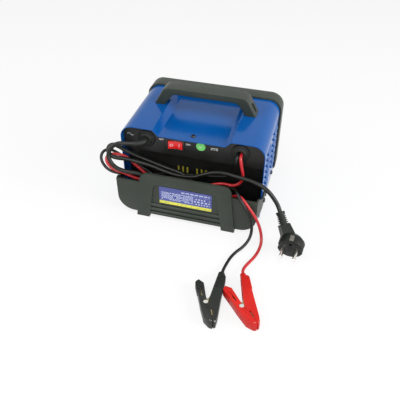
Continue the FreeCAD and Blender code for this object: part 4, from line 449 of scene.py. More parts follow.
RED_LEAD = [
    (74.35, -56, 115), (74.35, -60, 115), (75.1, -62.9, 112.4), (76, -64.4, 108.4), (77, -64.7, 102.6),
    (78.2, -64, 95.5), (79.6, -62.3, 87.5), (79.9, -61, 78.5), (77.2, -61.3, 70), (71.7, -62.5, 64.8),
    (64, -64, 63), (55, -65, 65), (45.5, -67, 65.5), (34, -69, 61.5), (18, -71, 57), (-3, -71.5, 55),
    (-27, -72, 53), (-47, -73.5, 51), (-63, -76.2, 51.8), (-78, -79, 56.5), (-91, -82, 62.5),
    (-101, -84.5, 69), (-109.5, -87, 72), (-118.6, -86.5, 75.6), (-125.4, -84, 80.4), (-129, -80, 85.4),
    (-128.4, -74.8, 88.6), (-123.5, -70.6, 89.6), (-114, -68, 89.3), (-104.5, -66.2, 87.1),
    (-97.5, -64.4, 81.1), (-91, -63.5, 73), (-82, -63.4, 64.8), (-72, -63.9, 56.5), (-61, -65.6, 49),
    (-47, -69, 43.5), (-28, -73, 40), (-4, -76, 38), (20, -77, 38.5), (42, -77.5, 42), (58, -79, 48.5),
    (68.5, -81.5, 56), (76, -85.6, 64.2), (84.4, -92.6, 68.4), (94.5, -98.7, 61), (103.5, -100.3, 49.8),
    (110.8, -100.8, 38.5), (116.6, -103, 27), (120.9, -107, 15.5), (123, -114, 7), (122, -124.5, 3),
    (120, -134.5, 2.6), (117, -144, 2.6), (113, -153, 2.8), (109.5, -162, 3.8), (107.8, -171, 5.8),
    (108.094, -177.876, 7), (111.03, -186.91, 7),
]
BLACK_LEAD = [
    (69.65, -56, 115), (69.65, -60, 115), (69.2, -62.9, 112.4), (68.8, -64.2, 108.2),
    (68.3, -63.4, 102.3), (67.6, -60.5, 94.5), (66.8, -56.5, 86), (64.5, -53, 77.5), (58, -51.3, 70.5),
    (47, -50.5, 66), (33, -50.3, 63.5), (17, -50, 61), (-1, -49.7, 58.5), (-21, -49.5, 56),
    (-42, -50, 53), (-60, -51.5, 50.5), (-75, -55, 49.5), (-87, -60, 50.5), (-97, -68, 54),
    (-103, -77, 60), (-109, -84.2, 65.8), (-118, -87.2, 69), (-126.5, -87, 73.6), (-133.6, -84.5, 80.8),
    (-136.9, -80.5, 88.1), (-135.4, -75.8, 94.4), (-131, -70.5, 96.3), (-126, -65.8, 93.8),
    (-119.5, -63.1, 89.4), (-109.5, -62.9, 83.6), (-101.5, -61, 78), (-92.5, -59.2, 71.6),
    (-81.5, -57.8, 64.5), (-68.5, -58.5, 57.5), (-54, -61, 50.5), (-36, -65, 45), (-14, -68.5, 42.5),
    (8, -70.5, 43), (30, -71.5, 47), (47, -71.3, 54), (58, -71, 61.5), (66, -73.5, 67.2),
    (72.5, -81, 70), (78.8, -91.8, 73.4), (86.6, -101, 66.8), (94.6, -103.4, 55.6), (101.1, -103, 42.2),
    (105.1, -104.2, 28.5), (106.3, -107.6, 16.4), (103.9, -115.5, 7.2), (98, -127, 3.2),
    (90.3, -138.3, 2.6), (84.8, -151.4, 2.6), (82.4, -164, 2.8), (81.3, -174, 4.6), (81.1, -182, 7),
    (81.1, -192.8, 7),
]
print("corners of the mains lead outside the hank:", len(MAINS_START) + len(MAINS_END))

# %% [markdown]
# The hank in the tray is two long runs and two half turns a loop, each loop a
# little lower than the last. Six corners make a half turn, and they stand a
# little outside the circle that the smooth line follows.

# %% Loops of the mains lead in the tray
HANK_RADIUS = 18.0
HANK_END = 69.0
HANK_MIDDLE = -66.0
HANK_TOP = 24.4
HANK_DROP = 7.2
HANK_LOOPS = 2
OUTSIDE = HANK_RADIUS / math.cos(math.radians(15.0))


def half_turn(side, level):
    """The corners round one end of the hank: side is 1 on the right and -1 on the left."""
    angles = [math.radians(-75.0 + 30.0 * step) for step in range(6)]
    return [(side * (HANK_END + OUTSIDE * math.cos(angle)),
             HANK_MIDDLE + side * OUTSIDE * math.sin(angle), level) for angle in angles]


def hank_loops():
    front, back = HANK_MIDDLE - HANK_RADIUS, HANK_MIDDLE + HANK_RADIUS
    points = []
    for loop in range(HANK_LOOPS):
        level = HANK_TOP - HANK_DROP * loop
        points += [(52.0, front, level), *half_turn(1, level), (50.0, back, level), (-50.0, back, level)]
        points += [*half_turn(-1, level), (-62.0, front, level), (-50.0, front, level)]
        level -= HANK_DROP
        points += [(-24.0, front, level), (-14.0, front, level)]
    return points + [(52.0, front, level), *half_turn(1, level)]


MAINS_ROUTE = MAINS_START + hank_loops() + MAINS_END
print("corners of the mains lead:", len(MAINS_ROUTE), "with", len(hank_loops()), "in the hank")


# %% [markdown]
# The spline's order and its end points are set after the points are there,
# because Blender resets them while the spline is still short.

# %% Lay the leads
def new_line(name, kind, points):
    """A curve of one spline through or near points in metres."""
    curve = bpy.data.curves.new(name, "CURVE")
    curve.dimensions = "3D"
    spline = curve.splines.new(kind)
    spline.points.add(len(points) - 1)
    for corner, point in zip(spline.points, points):
        corner.co = (*point, 1.0)
    if kind == "NURBS":
        spline.order_u = 3
        spline.use_endpoint_u = True
    item = bpy.data.objects.new(name, curve)
    bpy.context.scene.collection.objects.link(item)
    return item


def lay_lead(name, route, diameter, finish, slot, *hidden):
    lead = new_line(name, "NURBS", [metres(point) for point in route])
    lead.data.bevel_depth = diameter / 2 * MM
    lead.data.bevel_resolution = 6
    lead.data.resolution_u = 6
    lead.data.use_fill_caps = True
    lead.data.materials.append(finish)
    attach(lead, "charger")
    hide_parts(*hidden)
    print(name, "follows", len(route), "corners")
    return lead


MAINS_DIAMETER = 6.4
OUTPUT_DIAMETER = 4.5
mains_lead = lay_lead("mains_cord", MAINS_ROUTE, MAINS_DIAMETER, dark_vinyl, "mains_jacket",
                      "mains_lead_start", "mains_hank", "mains_lead_end")
red_lead = lay_lead("red_cord", RED_LEAD, OUTPUT_DIAMETER, red_vinyl, "red_jacket", "red_lead")
black_lead = lay_lead("black_cord", BLACK_LEAD, OUTPUT_DIAMETER, black_vinyl, "black_jacket", "black_lead")

# %% [markdown]
# Inside the case the three cables go on: the mains cable to the terminal block,
# and the two output cables down to the rectifier on its cooling plate. They are
# laid the same way, and the cover hides them.

# %% Cables inside the case
INNER_MAINS = [
    (-72, -56, 115), (-72, -40, 115), (-74, -29, 112.5), (-79, -20, 103), (-84, -9, 88), (-87, 0, 69),
    (-88, 5, 50), (-87, 7, 34), (-85.5, 11, 21), (-85, 17, 14.7), (-85, 23.9, 14.7),
]
INNER_RED = [
    (74.35, -56, 115), (74.35, -41, 115), (73, -31, 112), (68.5, -22, 103), (63, -12, 91), (60, -4, 79),
    (60, 2, 69), (60, 5, 61.5), (60, 5, 54.6),
]
INNER_BLACK = [
    (69.65, -56, 115), (69.65, -41, 115), (67, -30, 113), (61, -18, 107), (56, -3, 97), (55, 9, 85),
    (57.5, 17, 73), (60, 21, 63), (60, 21, 54.6),
]
lay_lead("inner_mains_line", INNER_MAINS, MAINS_DIAMETER, dark_vinyl, "mains_jacket", "inner_mains_cable")
lay_lead("inner_red_line", INNER_RED, OUTPUT_DIAMETER, red_vinyl, "red_jacket", "inner_output_cables")
lay_lead("inner_black_line", INNER_BLACK, OUTPUT_DIAMETER, black_vinyl, "black_jacket",
         "inner_output_cables")


# %% [markdown]
# A CAD solid has knife edges, and a real moulding never has. A copy of the
# node is merged, because its triangles are loose, then its flat faces are
# cleaned, and a bevel rounds what is sharp, so that each edge catches the light
# as it does on the real object.

# %% Softened copies of moulded nodes
MERGE_DISTANCE = 0.002
FLAT_ANGLE = 0.05


def bare_copy(node):
    """A copy of a node's mesh that is free of the frame's own marks."""
    select_only(nodes[node])
    bpy.ops.object.duplicate()
    copy = bpy.context.object
    bpy.ops.object.parent_clear(type="CLEAR_KEEP_TRANSFORM")
    for key in [key for key in copy.keys() if key.startswith("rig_")]:
        del copy[key]
    return copy


def merge_all(item):
    """Merge the corners that share one place, and stay in edit mode."""
    select_only(item)
    bpy.ops.object.mode_set(mode="EDIT")
    bpy.ops.mesh.select_all(action="SELECT")
    bpy.ops.mesh.remove_doubles(threshold=MERGE_DISTANCE * MM)


def softened(node, width, segments=2, angle=35.0):
    copy = bare_copy(node)
    merge_all(copy)
    bpy.ops.mesh.dissolve_limited(angle_limit=math.radians(FLAT_ANGLE))
    bpy.ops.object.mode_set(mode="OBJECT")
    round_off(copy, width, segments, angle)
    print(node, "has", len(copy.data.polygons), "faces once rounded")
    return copy


for node, name, width, segments in (("cable_tray", "tray", 1.1, 3), ("front_bezel", "bezel", 1.8, 3),
                                    ("handle", "handle", 2.6, 4)):
    seat(softened(node, width, segments), f"{name}_moulding", black_moulding, "charger",
         "black_moulding", node)
plug = seat(softened("plug_body", 0.35), "plug_moulding", plug_plastic, "charger",
            "black_moulding", "plug_body")

# %% [markdown]
# The clamps' grips and the switches are softened in the same way. Each moving
# piece rides on the body that turns it.

# %% Softened grips and switches
grips = {}
for colour, finish in GRIP_FINISHES.items():
    for half, body in (("fixed", "charger"), ("moving", f"{colour}_clamp_jaw")):
        node = f"{colour}_clamp_{half}_grip"
        grips[colour, half] = seat(softened(node, 0.7, 3), f"{colour}_{half}_handle", finish, body,
                                   f"clamp_{colour}", node)
for name, finish, slot in (("power", red_lens, "rocker_red"), ("voltage", smooth_black, "switch_black"),
                           ("rate", smooth_black, "switch_black")):
    seat(softened(f"{name}_switch_case", 0.5), f"{name}_switch_frame", smooth_black, "charger",
         "switch_black", f"{name}_switch_case")
    seat(softened(f"{name}_rocker", 0.5, 3), f"{name}_rocker_cap", finish, f"{name}_rocker",
         slot, f"{name}_rocker")


# %% [markdown]
# The tray's floor runs on under the case's recess at both ends, up to the lower
# rear panel. Each strip follows the tray's rounded corner. It starts as a line
# across the tray, which a curve thickens and draws out along the depth.

# %% Floor strips beside the tray's tongue
FLOOR_LINE = (
    (66.0, 5.3), (84.0, 5.3), (90.0, 5.6), (96.0, 7.2), (100.0, 9.3), (104.0, 12.6), (107.2, 16.6),
)
FLOOR_MIDDLE = -50.4
STRIP_HALF_DEPTH = 9.3
STRIP_ROUND = 1.2


def as_mesh(item):
    select_only(item)
    bpy.ops.object.convert(target="MESH")
    return bpy.context.object


def floor_strip(name, sign):
    item = new_line("strip", "POLY", [metres((sign * x, z, 0.0)) for x, z in FLOOR_LINE])
    item.data.bevel_depth = STRIP_ROUND * MM
    item.data.extrude = STRIP_HALF_DEPTH * MM
    item.data.use_fill_caps = True
    item.rotation_euler = (math.radians(90.0), 0.0, 0.0)
    item.location = metres((0.0, FLOOR_MIDDLE, 0.0))
    strip = as_mesh(item)
    merge_all(strip)
    bpy.ops.mesh.normals_make_consistent(inside=False)
    bpy.ops.object.mode_set(mode="OBJECT")
    smooth()
    return seat(strip, name, black_moulding, "charger", "black_moulding")


for name, sign in (("floor_strip_right", 1), ("floor_strip_left", -1)):
    low, high = extent(floor_strip(name, sign))
    print(name, "in mm:", [round(side, 1) for side in (*low, *high)])


# %% [markdown]
# Small parts start as blocks that are joined, and other blocks cut a piece. A
# boolean modifier takes the cutter's room out of the piece, and the cutter is
# then thrown away.

# %% Blocks, joins and cuts
def add_block(low, high):
    """A block between two corners, in millimetres, as the start of a piece."""
    bpy.ops.object.select_all(action="DESELECT")
    bpy.ops.mesh.primitive_cube_add(size=1.0, location=(metres(low) + metres(high)) / 2)
    block = bpy.context.object
    block.scale = metres(high) - metres(low)
    bpy.ops.object.transform_apply(location=True, rotation=True, scale=True)
    return block


def joined(pieces):
    select_only(pieces[0])
    for piece in pieces[1:]:
        piece.select_set(True)
    if len(pieces) > 1:
        bpy.ops.object.join()
    return bpy.context.object


def cut_away(item, cutter):
    modifier = item.modifiers.new("cut", "BOOLEAN")
    modifier.operation = "DIFFERENCE"
    modifier.solver = "EXACT"
    modifier.object = cutter
    apply_modifiers(item)
    bpy.data.objects.remove(cutter)


# %% [markdown]
# A sheet metal screw has a cross pressed into its head. Two thin bars, driven
# into the head one after the other, cut that cross. The screw's own direction is
# found from its box, whose two equal sides are the head. The head's end is the
# one where the corners far from the axis are.

# %% Crosses in the screw heads
CROSS_REACH = 0.29
CROSS_WIDTH = 0.065
CROSS_DEPTH = 1.1
HEAD_RIM = 0.42


def cut_cross(screw):
    low, high = extent(screw)
    size, middle = high - low, (low + high) / 2
    spread = [abs(size[(axis + 1) % 3] - size[(axis + 2) % 3]) for axis in range(3)]
    axis = spread.index(min(spread))
    one, other = (axis + 1) % 3, (axis + 2) % 3
    steps = [vertex.co / MM - middle for vertex in screw.data.vertices]
    head = [step[axis] for step in steps if step[one] ** 2 + step[other] ** 2 > (size[one] * HEAD_RIM) ** 2]
    centre = middle.copy()
    centre[axis] = high[axis] if sum(head) > 0.0 else low[axis]
    for long_way, short_way in ((one, other), (other, one)):
        reach = Vector((CROSS_DEPTH, CROSS_DEPTH, CROSS_DEPTH))
        reach[long_way] = size[one] * CROSS_REACH
        reach[short_way] = size[one] * CROSS_WIDTH
        cut_away(screw, add_block(centre - reach, centre + reach))


def dress_screws(node):
    select_only(softened(node, 0.35, 2, 25.0))
    bpy.ops.object.mode_set(mode="EDIT")
    bpy.ops.mesh.select_all(action="SELECT")
    bpy.ops.mesh.separate(type="LOOSE")
    bpy.ops.object.mode_set(mode="OBJECT")
    screws = list(bpy.context.selected_objects)
    for screw in screws:
        cut_cross(screw)
    print(node, "screws:", len(screws))
    seat(joined(screws), f"{node}_crossed", blackened_screw, "charger", "zinc_steel", node)


dress_screws("cover_screws")
dress_screws("tray_screws")


# %% [markdown]
# A sleeve has to follow the very line that its lead takes. A spline without
# thickness gives that line as points, which are then measured off by length. A
# round bar runs through such points, with a radius of its own at each.

# %% Lines to follow and round bars
def smooth_line(route):
    """The line of a lead, read from a spline that has no thickness."""
    item = new_line("line", "NURBS", [metres(point) for point in route])
    item.data.resolution_u = 12
    mesh = bpy.data.meshes.new_from_object(item)
    line = [vertex.co.copy() for vertex in mesh.vertices]
    bpy.data.curves.remove(item.data)
    bpy.data.meshes.remove(mesh)
    return line


def along(line, length):
    """The first stretch of a line, with how far each of its points has come."""
    stretch = [(line[0], 0.0)]
    for start, end in zip(line, line[1:]):
        travelled = stretch[-1][1] + (end - start).length / MM
        stretch.append((end, travelled))
        if travelled > length:
            break
    return stretch


def round_bar(name, points, radii):
    """A round bar through points in metres, with a radius in millimetres at each."""
    item = new_line(name, "POLY", points)
    item.data.bevel_depth = MM
    item.data.bevel_resolution = 4
    item.data.use_fill_caps = True
    for corner, radius in zip(item.data.splines[0].points, radii):
        corner.radius = radius
    bar = as_mesh(item)
    smooth()
    return bar


# %% [markdown]
# Where the mains lead leaves the case, a rubber sleeve stops it from kinking. It
# tapers from the grommet to the lead and has a few rings, so that it bends
# evenly.

# %% Sleeve on the mains lead
SLEEVE_LENGTH = 24.0
SLEEVE_STEP = 0.5
SLEEVE_ROOT = 5.0
SLEEVE_TAPER = 1.4
RING_RISE = 0.35
stretch = along(smooth_line(MAINS_START), SLEEVE_LENGTH)
sleeve_points = []
sleeve_radii = []
for number in range(int(SLEEVE_LENGTH / SLEEVE_STEP) + 1):
    wanted = SLEEVE_STEP * number
    before = [step for step in stretch if step[1] <= wanted][-1]
    after = [step for step in stretch if step[1] > wanted][0]
    share = (wanted - before[1]) / (after[1] - before[1])
    sleeve_points.append(before[0].lerp(after[0], share))
    ring = RING_RISE if 3.0 < wanted < 20.0 and number % 6 < 3 else 0.0
    sleeve_radii.append(SLEEVE_ROOT - SLEEVE_TAPER * wanted / SLEEVE_LENGTH + ring)
seat(round_bar("sleeve", sleeve_points, sleeve_radii), "mains_sleeve", black_rubber, "charger",
     "grommet_rubber")
print("sleeve length in mm:", wanted)

# %% [markdown]
# The rear panel carries small white marks: OFF and ON beside the rocker, a wave
# for the alternating current that comes in, and a bar over three dashes for the
# direct current that goes out. Text is made a mesh and laid on the steel.

# %% Marks on the rear panel
FACING_REAR = (math.radians(90.0), 0.0, 0.0)
FACING_FRONT = (math.radians(90.0), 0.0, math.radians(180.0))
REAR_FACE = -51.0
INK_LIFT = 0.05


def printed_text(words, height, place, turn, name, finish=white_ink):
    bpy.ops.object.select_all(action="DESELECT")
    bpy.ops.object.text_add()
    item = bpy.context.object
    item.data.body = words
    item.data.size = height * MM
    item.data.extrude = INK_LIFT * MM
    item.data.align_x = "CENTER"
    item.data.align_y = "CENTER"
    item.location = metres(place)
    item.rotation_euler = turn
    return seat(as_mesh(item), name, finish, "charger", "label_film")


def printed_bars(name, *spans):
    bars = [round_off(add_block(low, high), 0.04, 1) for low, high in spans]
    return seat(joined(bars), name, white_ink, "charger", "label_film")


printed_text("OFF", 4.3, (-48.4, REAR_FACE - INK_LIFT, 117.0), FACING_REAR, "mark_off")
printed_text("ON", 4.3, (-7.0, REAR_FACE - INK_LIFT, 115.0), FACING_REAR, "mark_on")
wave = [metres((-102.5 + 0.5 * step, REAR_FACE, 118.0 + 1.7 * math.sin(math.radians(18.0 * step))))
        for step in range(21)]
seat(round_bar("wave", wave, [0.32] * len(wave)), "mark_wave", white_ink, "charger", "label_film")
direct_spans = [((27.5, -51.15, 115.2), (38.5, -50.95, 116.0))]
direct_spans += [((left, -51.15, 112.6), (left + 3.0, -50.95, 113.4)) for left in (27.5, 31.5, 35.5)]
direct_mark = printed_bars("mark_direct", *direct_spans)
print("direct current mark in mm:", [[round(side, 1) for side in corner] for corner in extent(direct_mark)])

# %% [markdown]
# The rocker's two slopes carry its own marks, a ring for off and a bar for on.
# They are drawn flat at the origin, then put on the slopes with the same turns
# that the rocker has, so that they move with it. Each rocker's line gives its
# centre, its turn, how far out the middle of a slope lies and the ring's radius.

# %% Marks on the rockers
REST_TILT = math.radians(6.0)
SLOPE_RISE = 2.0
SLOPE_START = 0.8
MARK_LEVEL = 2.47
RING_SQUASH = (1.0, 0.8, 0.4)
FRONT_FACE = 83.1
UPRIGHT = Matrix.Rotation(math.radians(90.0), 4, "X")
QUARTER_TURN = Matrix.Rotation(math.radians(90.0), 4, "Z")
HALF_TURN = Matrix.Rotation(math.radians(180.0), 4, "Z")
ROUND_TO_FRONT = HALF_TURN @ UPRIGHT @ QUARTER_TURN
ROCKERS = (
    ("power", (-26.5, REAR_FACE, 111.5), UPRIGHT, 5.75, 2.3),
    ("voltage", (-34.0, FRONT_FACE, 88.0), ROUND_TO_FRONT, 4.0, 1.4),
    ("rate", (-74.0, FRONT_FACE, 88.0), ROUND_TO_FRONT, 4.0, 1.4),
)


def rocker_place(centre, turn, along_x, slope):
    tipped = Matrix.Translation(metres(centre)) @ turn @ Matrix.Rotation(REST_TILT, 4, "Y")
    return tipped @ Matrix.Translation(metres((along_x, 0.0, MARK_LEVEL))) @ Matrix.Rotation(slope, 4, "Y")


def add_ring(radius, wire):
    bpy.ops.object.select_all(action="DESELECT")
    bpy.ops.mesh.primitive_torus_add(major_radius=radius * MM, minor_radius=wire * MM, major_segments=28,
                                     minor_segments=8)
    ring = bpy.context.object
    ring.scale = RING_SQUASH
    bpy.ops.object.transform_apply(location=True, rotation=True, scale=True)
    return ring


for name, centre, turn, reach, radius in ROCKERS:
    slope = math.atan2(SLOPE_RISE, 2 * (reach - SLOPE_START))
    ring = add_ring(radius, 0.36)
    ring.data.transform(rocker_place(centre, turn, -reach, slope))
    bar = round_off(add_block((-0.35, -radius, -0.1), (0.35, radius, 0.14)), 0.05, 1)
    bar.data.transform(rocker_place(centre, turn, reach, -slope))
    for item, mark in ((ring, "off"), (bar, "on")):
        seat(item, f"{name}_rocker_{mark}", white_ink, f"{name}_rocker", "label_film")
    print(name, "rocker slopes by", round(math.degrees(slope), 1), "degrees")

# %% [markdown]
# A brick pattern makes rows that look like small print: each brick is a dash,
# pale or left blank by chance, and the mortar is the ground between the rows. It
# is turned upright, because its rows would otherwise lie one behind the other.

# %% Rows of print
BLACK, WHITE = (0.0, 0.0, 0.0), (1.0, 1.0, 1.0)


def within(tree, coordinate, low, high):
    """One from low to high, in millimetres, and nought outside."""
    return reckon(tree, "MULTIPLY", reckon(tree, "GREATER_THAN", coordinate, low * MM),
                  reckon(tree, "LESS_THAN", coordinate, high * MM))


def printed_rows(tree, row, dash, bias):
    brick = tree.nodes.new("ShaderNodeTexBrick")
    brick.offset = 0.37
    brick.squash = 1.4
    brick.squash_frequency = 3
    upright = mapped(tree, Rotation=(math.radians(-90.0), 0.0, 0.0))
    for socket, source in (("Vector", upright), ("Scale", 1.0 / MM), ("Brick Width", dash),
                           ("Row Height", row), ("Mortar Size", row * 0.24), ("Mortar Smooth", 0.1),
                           ("Bias", bias), ("Color1", WHITE), ("Color2", BLACK), ("Mortar", BLACK)):
        feed(tree, brick.inputs[socket], source)
    return reckon(tree, "GREATER_THAN", brick.outputs["Color"], 0.5)


# %% [markdown]
# The rating label is a printed film in the arch's recess: a violet ground, a
# yellow strip along its foot and patches of pale print. No words are copied. A
# patch's line gives the row's height, the dash's length and the bias to blank,
# then the patch's left, right, foot and top in millimetres.

# %% The rating label
PRINT_PATCHES = (
    (2.1, 3.4, -0.35, -37.5, 12.0, 38.0, 53.0),
    (3.2, 7.0, -0.5, -6.0, 38.0, 53.5, 57.0),
    (4.6, 4.2, -0.4, 14.0, 38.0, 38.0, 52.0),
)
STRIP_TOP = 35.2


def make_label_film():
    material, tree, shader = new_finish("label_film")
    place = coordinates(tree)
    across, height = place["X"], place["Z"]
    printed = 0.0
    for row, dash, bias, left, right, foot, top in PRINT_PATCHES:
        patch = reckon(tree, "MULTIPLY", within(tree, across, left, right), within(tree, height, foot, top))
        rows = reckon(tree, "MULTIPLY", printed_rows(tree, row, dash, bias), patch)
        printed = reckon(tree, "MAXIMUM", printed, rows)
    ground = clouded(tree, 12.0, (0.062, 0.080, 0.290), (0.076, 0.096, 0.325))
    film = blend_colours(tree, printed, ground, (0.52, 0.56, 0.76))
    fine = reckon(tree, "MULTIPLY", printed_rows(tree, 2.2, 3.0, 0.0), within(tree, height, 31.0, 34.0))
    yellow = blend_colours(tree, fine, (0.74, 0.72, 0.07), (0.24, 0.26, 0.12))
    in_strip = reckon(tree, "LESS_THAN", height, STRIP_TOP * MM)
    tree.links.new(blend_colours(tree, in_strip, film, yellow), shader.inputs["Base Color"])
    tree.links.new(between(tree, noise_on(tree, 9.0), 0.22, 0.32), shader.inputs["Roughness"])
    raise_grain(tree, shader, noise_on(tree, 14.0), 0.10, 0.05)
    return material


paint(nodes["rating_label"], make_label_film())

# %% [markdown]
# The round sticker on the rear panel is green paper with a lighter rim. Its
# colour follows the distance from its middle, which a Mapping node brings to
# nought. A plain tick, bent from a bar, stands for whatever is printed on it.

# %% The sticker
def make_sticker_paper(centre):
    material, tree, shader = new_finish("sticker_paper")
    distance = tree.nodes.new("ShaderNodeVectorMath")
    distance.operation = "LENGTH"
    tree.links.new(mapped(tree, Location=-centre, Scale=(1.0, 0.0, 1.0)), distance.inputs[0])
    radius = distance.outputs["Value"]
    paper = clouded(tree, 3.0, (0.055, 0.52, 0.050), (0.075, 0.60, 0.070))
    ringed = blend_colours(tree, within(tree, radius, 5.3, 5.8), paper, (0.03, 0.26, 0.04))
    on_rim = reckon(tree, "GREATER_THAN", radius, 6.3 * MM)
    tree.links.new(blend_colours(tree, on_rim, ringed, (0.17, 0.66, 0.16)), shader.inputs["Base Color"])
    tree.links.new(between(tree, noise_on(tree, 2.0), 0.40, 0.52), shader.inputs["Roughness"])
    raise_grain(tree, shader, noise_on(tree, 0.4), 0.10, 0.03)
    return material


sticker_low, sticker_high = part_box("inspection_sticker")
sticker_middle = (sticker_low + sticker_high) / 2
paint(nodes["inspection_sticker"], make_sticker_paper(sticker_middle))
TICK_STEPS = ((-2.8, -0.15, 0.3), (-0.9, -0.15, -2.0), (3.0, -0.15, 2.6))
TICK_RADII = (0.42, 0.5, 0.3)
tick = round_bar("tick", [sticker_middle + metres(step) for step in TICK_STEPS], TICK_RADII)
seat(tick, "sticker_tick", white_ink, "charger", "label_film")
print("sticker across in mm:", round((sticker_high.x - sticker_low.x) / MM, 1))

# %% [markdown]
# Each clamp's handles have fine ribs near their ends, so that oily fingers hold
# them. A rib is a bar over the flat side with a leg down the outer edge. One is
# modelled, and its copies step along the handle. The clamps were drawn with
# their pin at the origin, and the last turn and shift put them in their places.

# %% Ribs on the clamps
CLAMP_PLACES = {"red": ((119.3, -238.9), 18.0), "black": ((72.9, -244.8), 0.0)}
CLAMP_HEIGHT = 14.0
RIB_WIDTH = 1.15
RIB_RISE = 0.7
RIB_STEP = 2.4


def clamp_place(colour):
    (x, y), turn = CLAMP_PLACES[colour]
    return Matrix.Translation(metres((x, y, 0.0))) @ Matrix.Rotation(math.radians(turn), 4, "Z")


def lay_along(item, start, end):
    """Turn and move a piece drawn along X, so that it runs from start towards end on a clamp."""
    run = Vector(end) - Vector(start)
    turn = Matrix.Rotation(math.atan2(run.y, run.x), 4, "Z")
    item.data.transform(Matrix.Translation(metres((*start, 0.0))) @ turn)
    return item


def rib_row(start, end, reach):
    """Ribs from start to end of a handle's outer edge, which run in over it by reach."""
    half, top = RIB_WIDTH / 2, CLAMP_HEIGHT + RIB_RISE
    over = add_block((-half, min(0.0, reach), CLAMP_HEIGHT - 0.6), (half, max(0.0, reach), top))
    leg = add_block((-half, -0.8, 1.2), (half, 0.8, top))
    ribs = [round_off(joined([over, leg]), 0.25, 2)]
    for number in range(int((Vector(end) - Vector(start)).length / RIB_STEP)):
        select_only(ribs[-1])
        bpy.ops.object.duplicate()
        ribs.append(bpy.context.object)
        ribs[-1].data.transform(Matrix.Translation(metres((RIB_STEP, 0.0, 0.0))))
    return lay_along(joined(ribs), start, end)


RIB_ROWS = {"fixed": ((14.9, 47.0), (16.3, 25.5), -10.0), "moving": ((-20.6, 26.0), (-14.6, 13.4), 7.6)}
for colour, finish in GRIP_FINISHES.items():
    for half, body in (("fixed", "charger"), ("moving", f"{colour}_clamp_jaw")):
        ribs = rib_row(*RIB_ROWS[half])
        ribs.data.transform(clamp_place(colour))
        seat(ribs, f"{colour}_{half}_ribs", finish, body, f"clamp_{colour}")
        print(colour, half, "rib faces:", len(ribs.data.polygons))

# %% [markdown]
# A clamp's steel shows through windows in its grips: a long one in the handle
# without the cable, and a short one beside the jaws. At the tips the steel
# comes out of the plastic with its teeth. The windows are cut with blocks that
# reach through the top wall only.

# %% Windows and teeth of the clamps
GRIP_WALL = 1.8
CUT_MARGIN = 0.2
TOOTH_REACH = 2.6


def cut_window(grip, start, end, width, place):
    length = (Vector(end) - Vector(start)).length
    cutter = add_block((0.0, -width / 2, CLAMP_HEIGHT - GRIP_WALL - CUT_MARGIN),
                       (length, width / 2, CLAMP_HEIGHT + 2.0))
    lay_along(cutter, start, end)
    cutter.data.transform(place)
    before = len(grip.data.polygons)
    cut_away(grip, cutter)
    print(grip.name, "faces:", before, "->", len(grip.data.polygons))


def tooth(x, y):
    """A steel point at the jaw's tip, drawn as a four-sided spike that points down the jaw."""
    bpy.ops.object.select_all(action="DESELECT")
    bpy.ops.mesh.primitive_cone_add(vertices=4, radius1=1.0 * MM, radius2=0.25 * MM, depth=TOOTH_REACH * MM,
                                    location=metres((x, y, CLAMP_HEIGHT - 0.6)), rotation=FACING_REAR)
    bpy.ops.object.transform_apply(location=True, rotation=True, scale=True)
    return bpy.context.object


for colour in CLAMP_PLACES:
    place = clamp_place(colour)
    cut_window(grips[colour, "moving"], (-14.4, 24.0), (-6.6, 7.6), 2.0, place)
    cut_window(grips[colour, "fixed"], (9.4, -9.0), (13.6, -19.0), 1.8, place)
    for half, body, spots in (("fixed", "charger", ((17.9, -27.6), (19.3, -27.2))),
                              ("moving", f"{colour}_clamp_jaw", ((12.4, -28.0), (14.2, -28.2)))):
        teeth = round_off(joined([tooth(x, y) for x, y in spots]), 0.1, 1)
        teeth.data.transform(place)
        seat(teeth, f"{colour}_{half}_teeth", nickel_plate, body, "nickel_pin")

# %% [markdown]
# Each clamp's spring sits round its pin, with one leg against each half. When
# the handles are pressed, the shorter leg turns about the pin with the moving
# half, and winds the coil up a little. The spring is therefore split where that
# leg leaves the coil, and the leg rides on the moving half.

# %% Where a spring's leg begins
SPRING_WIRE = 1.3
PIN_RADIUS = 2.0
COIL_RADIUS = PIN_RADIUS + 0.4 + SPRING_WIRE / 2
LEG_ANGLE = math.radians(53.0)


def select_leg(coil, colour):
    """Select the faces of the lowest turn that lie past the point where the leg leaves the coil."""
    to_clamp = clamp_place(colour).inverted() @ coil.matrix_world
    level = min((to_clamp @ vertex.co).z / MM for vertex in coil.data.vertices) + SPRING_WIRE / 2
    root = Vector((math.cos(LEG_ANGLE), math.sin(LEG_ANGLE))) * COIL_RADIUS
    away = Vector((-math.sin(LEG_ANGLE), math.cos(LEG_ANGLE)))
    for kind in (coil.data.polygons, coil.data.edges, coil.data.vertices):
        kind.foreach_set("select", [False] * len(kind))
    for face in coil.data.polygons:
        centre = to_clamp @ face.center / MM
        step = centre.xy - root
        face.select = (step.dot(away) > 0.02 and abs(step.cross(away)) < SPRING_WIRE
                       and abs(centre.z - level) < SPRING_WIRE * 0.6)


# %% [markdown]
# Faces that are taken off leave an open end on both parts. The edges round such
# an end have one face each, so they can be selected by that and closed.

# %% Springs in two parts
def close_ends(item):
    merge_all(item)
    bpy.ops.mesh.select_all(action="DESELECT")
    bpy.ops.mesh.select_mode(type="EDGE")
    bpy.ops.mesh.select_non_manifold()
    bpy.ops.mesh.edge_face_add()
    bpy.ops.object.mode_set(mode="OBJECT")
    smooth()


